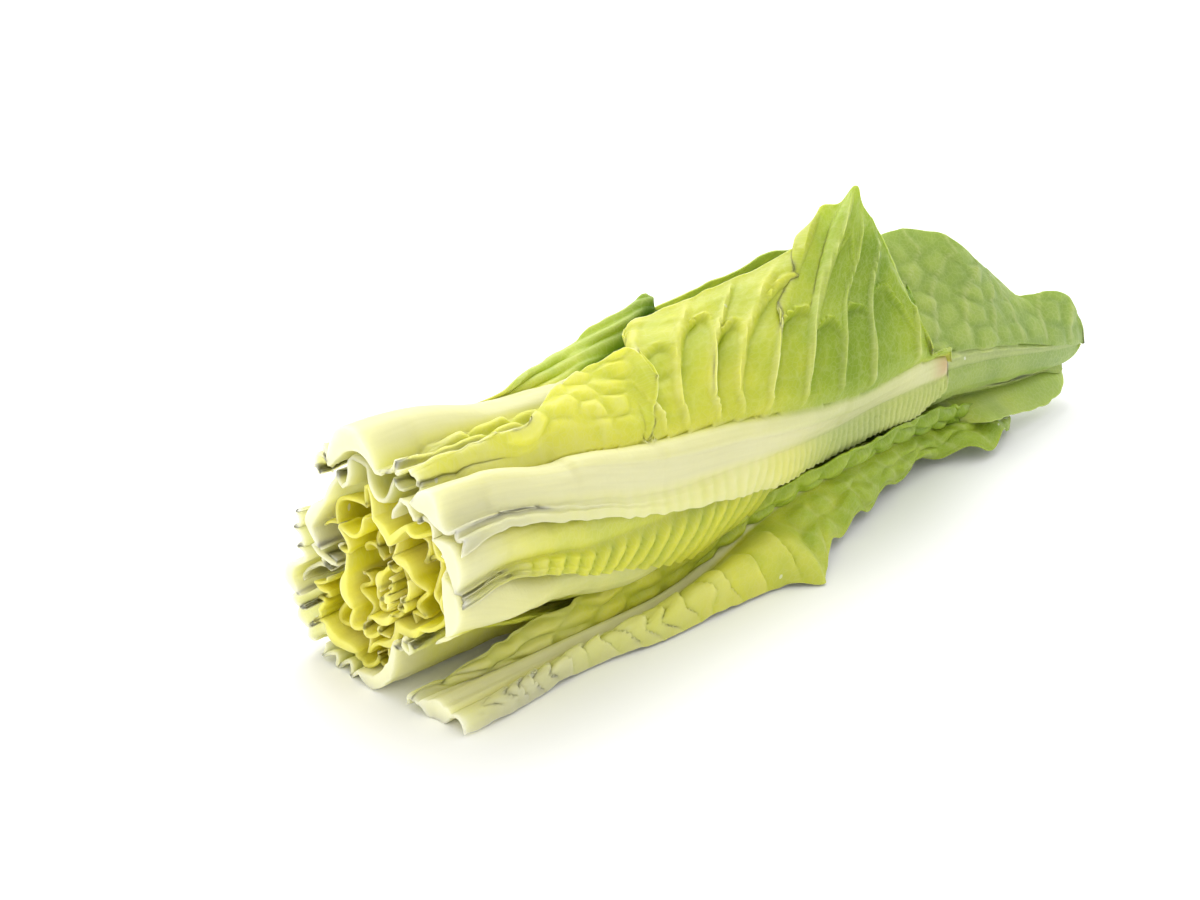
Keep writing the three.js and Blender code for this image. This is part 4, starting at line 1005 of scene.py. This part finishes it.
# Where the rib's middle and each half's margin run, and how far the near half is rolled.
RIB_X = [(0, 15), (35, 16), (60, 17), (85, 16.5), (110, 15.5), (140, 16), (170, 14), (200, 12),
         (218, 14)]
RIB_Z = [(0, 0.35), (66, 0.35), (84, 3), (105, 9), (130, 12), (160, 11.5), (190, 8), (210, 5),
         (218, 2)]
NEAR_X = [(0, 24.2), (11, 25), (25, 24), (42, 24), (57, 27), (77, 28.5), (98, 30.5), (104, 35),
          (107, 37.2), (109, 35.5), (115, 31.5), (121, 28.5), (137, 24), (145, 22), (161, 18),
          (178, 16), (184, 18), (195, 24), (205, 22), (218, 17)]
NEAR_Z = [(0, 0.6), (100, 0.8), (107, 0.4), (114, 2), (121, 4), (128, 1.5), (136, 4.5), (144, 2),
          (153, 5), (163, 2.5), (172, 5), (182, 2.5), (190, 5), (197, 2), (205, 5), (212, 2),
          (218, 1.5)]
FAR = [(0, 7, 1), (20, 10, 7), (60, 13, 12.5), (85, 15, 15), (110, 18, 18), (140, 19, 19.5),
       (180, 16.5, 17.5), (218, 12, 6)]  # x and z
ROLL = [(0, 2), (35, 3), (60, 4), (80, 6), (98, 6.5), (106, 4), (112, 1), (150, 1.5), (190, 1.6),
        (218, 0.8)]
SCALE_ROWS = [(-10, -2), (0, 0), (50, 10), (80, 14.6), (110, 18), (220, 30)]  # how many so far
SCALE_HEIGHT, RUFFLE_HEIGHT, FAR_LUMPS = 2.6, 1.5, 1.6
CORNER_AT = 110  # where the scales end, at the torn corner


def floor_relief(leaf, y, across, share):
    """Overlapping scales along the near half, each rising as the root of its length and then
    dropping, as far as the torn corner; gentle ruffles with fine veins beyond; and lumps on the
    far half."""
    row = through(SCALE_ROWS, y - 8 * (share - 0.45) ** 2 + 2.4 * noise(y / 7, share * 4, 166))
    rise = row - np.floor(row)
    scale = np.sqrt(rise) * ease((1 - rise) / 0.18)
    scale = scale * (0.75 + 0.35 * noise(np.floor(row) * 1.3, share * 2.5, 167))
    near = ease((CORNER_AT - y) / 8) * ease(y / 30) * (across < 0)
    beyond = ease((y - CORNER_AT + 6) / 10) * (across < 0)
    on_far = across > 0
    border, own = cells(y / 10, share * 2.2 + 4, 168)
    ruffle = ease(border * 1.5) * (0.4 + 0.6 * own)
    lump = on_far * ease(border * 1.6) * (0.5 + 0.5 * own)
    vein = vein_field(y, across, share, 9, [(0, 0), (20, 9)], 169)[2]
    grown = ease(share * 4)
    # Painted shade between the scales and between the ruffles; between the far half's lumps it is added
    # below.
    deep = 0.4 * (1 - scale) * near * ease(y / 50) + 0.3 * (1 - ruffle) * beyond
    pale = (0.3 * scale + 0.8 * ease((44 - y) / 30)) * near
    height = SCALE_HEIGHT * scale * near + RUFFLE_HEIGHT * ruffle * beyond + FAR_LUMPS * lump
    return {"height": grown * height,
            "vein": grown * (0.25 * vein * beyond + pale),
            "deep": grown * (deep + 0.4 * (1 - lump) * on_far),
            "green": grown * (0.1 * ruffle * beyond + 0.1 * on_far - 0.04 * near)}


def floor_surface(leaf, y, across):
    """The rib's flat underside on the table, curling up at its sides, and a wing on each side:
    straight to its margin, with ROLL times sin(pi share) square to it on the near one."""
    half = half_width(leaf, y, across)
    rib = rib_half(leaf, y, half)
    share = blade_share(leaf, y, across)
    on_near = across < 0
    foot = np.stack([through(RIB_X, y) - np.sign(across) * rib, y, through(RIB_Z, y) + 0.55 * rib], -1)
    far_x, far_z = along_path(FAR, y)
    margin = np.stack([np.where(on_near, through(NEAR_X, y), far_x), y,
                       np.where(on_near, through(NEAR_Z, y), far_z)], -1)
    full = np.where(on_near, through(leaf["right"], y), through(leaf["left"], y))
    out = np.clip((np.abs(across) - rib) / (full - rib), 0, 1.15)
    wing = foot + (margin - foot) * out[..., None]
    aside = (margin - foot)[..., [2, 1, 0]] * [-1, 0, 1] * np.where(on_near, 1, -1)[..., None]
    aside = unit(aside)
    roll = np.where(on_near, through(ROLL, y), 1.0) * np.sin(math.pi * np.minimum(out, 1))
    relief = floor_relief(leaf, y, across, share)["height"] * ease((1.02 - share) * 8)
    wing = wing + aside * (roll + relief)[..., None]
    inner_rib = np.abs(across) / rib
    curl = 0.55 * rib * ease(inner_rib * 1.7 - 0.7)
    flat = np.stack([through(RIB_X, y) - across, y, through(RIB_Z, y) + curl], -1)
    points = np.where((inner_rib < 1)[..., None], flat, wing) - [CENTRE_X, CENTRE_Y, 0]
    points[..., 2] = np.maximum(points[..., 2], BLADE / 2)
    uneven = 1.25 + 1.25 * noise(across / 5, 0 * y, leaf["seed"] + 5)
    points[..., 1] += uneven * np.exp(-y / TORN)
    return points, normals(points, y)


floor_leaf["relief"] = floor_relief
grow(floor_leaf, light_green, floor_surface)

# ======== the table, the light and the camera ========
# A white table that runs on out of sight, in a white room, lit from above and behind on the left
# through a large diffuser, with a small soft lamp low in front of the cut.

TABLE_HALF = 4.0
mesh = bpy.data.meshes.new("table")
corners = [(-1, -1), (1, -1), (1, 1), (-1, 1)]
mesh.from_pydata([(TABLE_HALF * x, TABLE_HALF * y, 0) for x, y in corners], [], [(0, 1, 2, 3)])
white = bpy.data.materials.new("white_table")
white.use_nodes = True
shader = white.node_tree.nodes["Principled BSDF"]
shader.inputs["Base Color"].default_value = (0.93, 0.93, 0.935, 1)
shader.inputs["Roughness"].default_value = 0.7
mesh.materials.append(white)
link("table", mesh)

world = bpy.data.worlds.new("white_room")
bpy.context.scene.world = world
world.use_nodes = True
walls = world.node_tree.nodes["Background"]
walls.inputs["Color"].default_value = (1, 1, 1, 1)
walls.inputs["Strength"].default_value = 1.12


def turned_to(item, direction):
    """Turns a lamp or a camera so that it looks along direction."""
    item.rotation_mode = "QUATERNION"
    item.rotation_quaternion = direction.to_track_quat("-Z", "Y")


def area_lamp(name, shape, size, energy, place, target):
    """An area lamp of that size, at place, turned to target; both in metres."""
    lamp = bpy.data.lights.new(name, "AREA")
    lamp.shape, lamp.size, lamp.energy = shape, size, energy
    item = link(name, lamp)
    item.location = place
    turned_to(item, Vector(target) - Vector(place))


area_lamp("diffuser", "SQUARE", 0.9, 8, (-0.55, 0.35, 0.95), (0, 0, 0.03))
area_lamp("fill", "DISK", 0.3, 1.3, (-0.2, -0.85, 0.14), (0, -0.1, 0.03))

AZIMUTH, ELEVATION = math.radians(44), math.radians(24.5)
lens = bpy.data.cameras.new("camera")
lens.lens, lens.sensor_width = 60, 36
camera = link("camera", lens)
camera.location = (0.2909, -0.3640, 0.2294)
level = math.cos(ELEVATION)
turned_to(camera, Vector((-math.sin(AZIMUTH) * level, math.cos(AZIMUTH) * level, -math.sin(ELEVATION))))
bpy.context.scene.camera = camera
bpy.context.scene.view_settings.view_transform = "Standard"
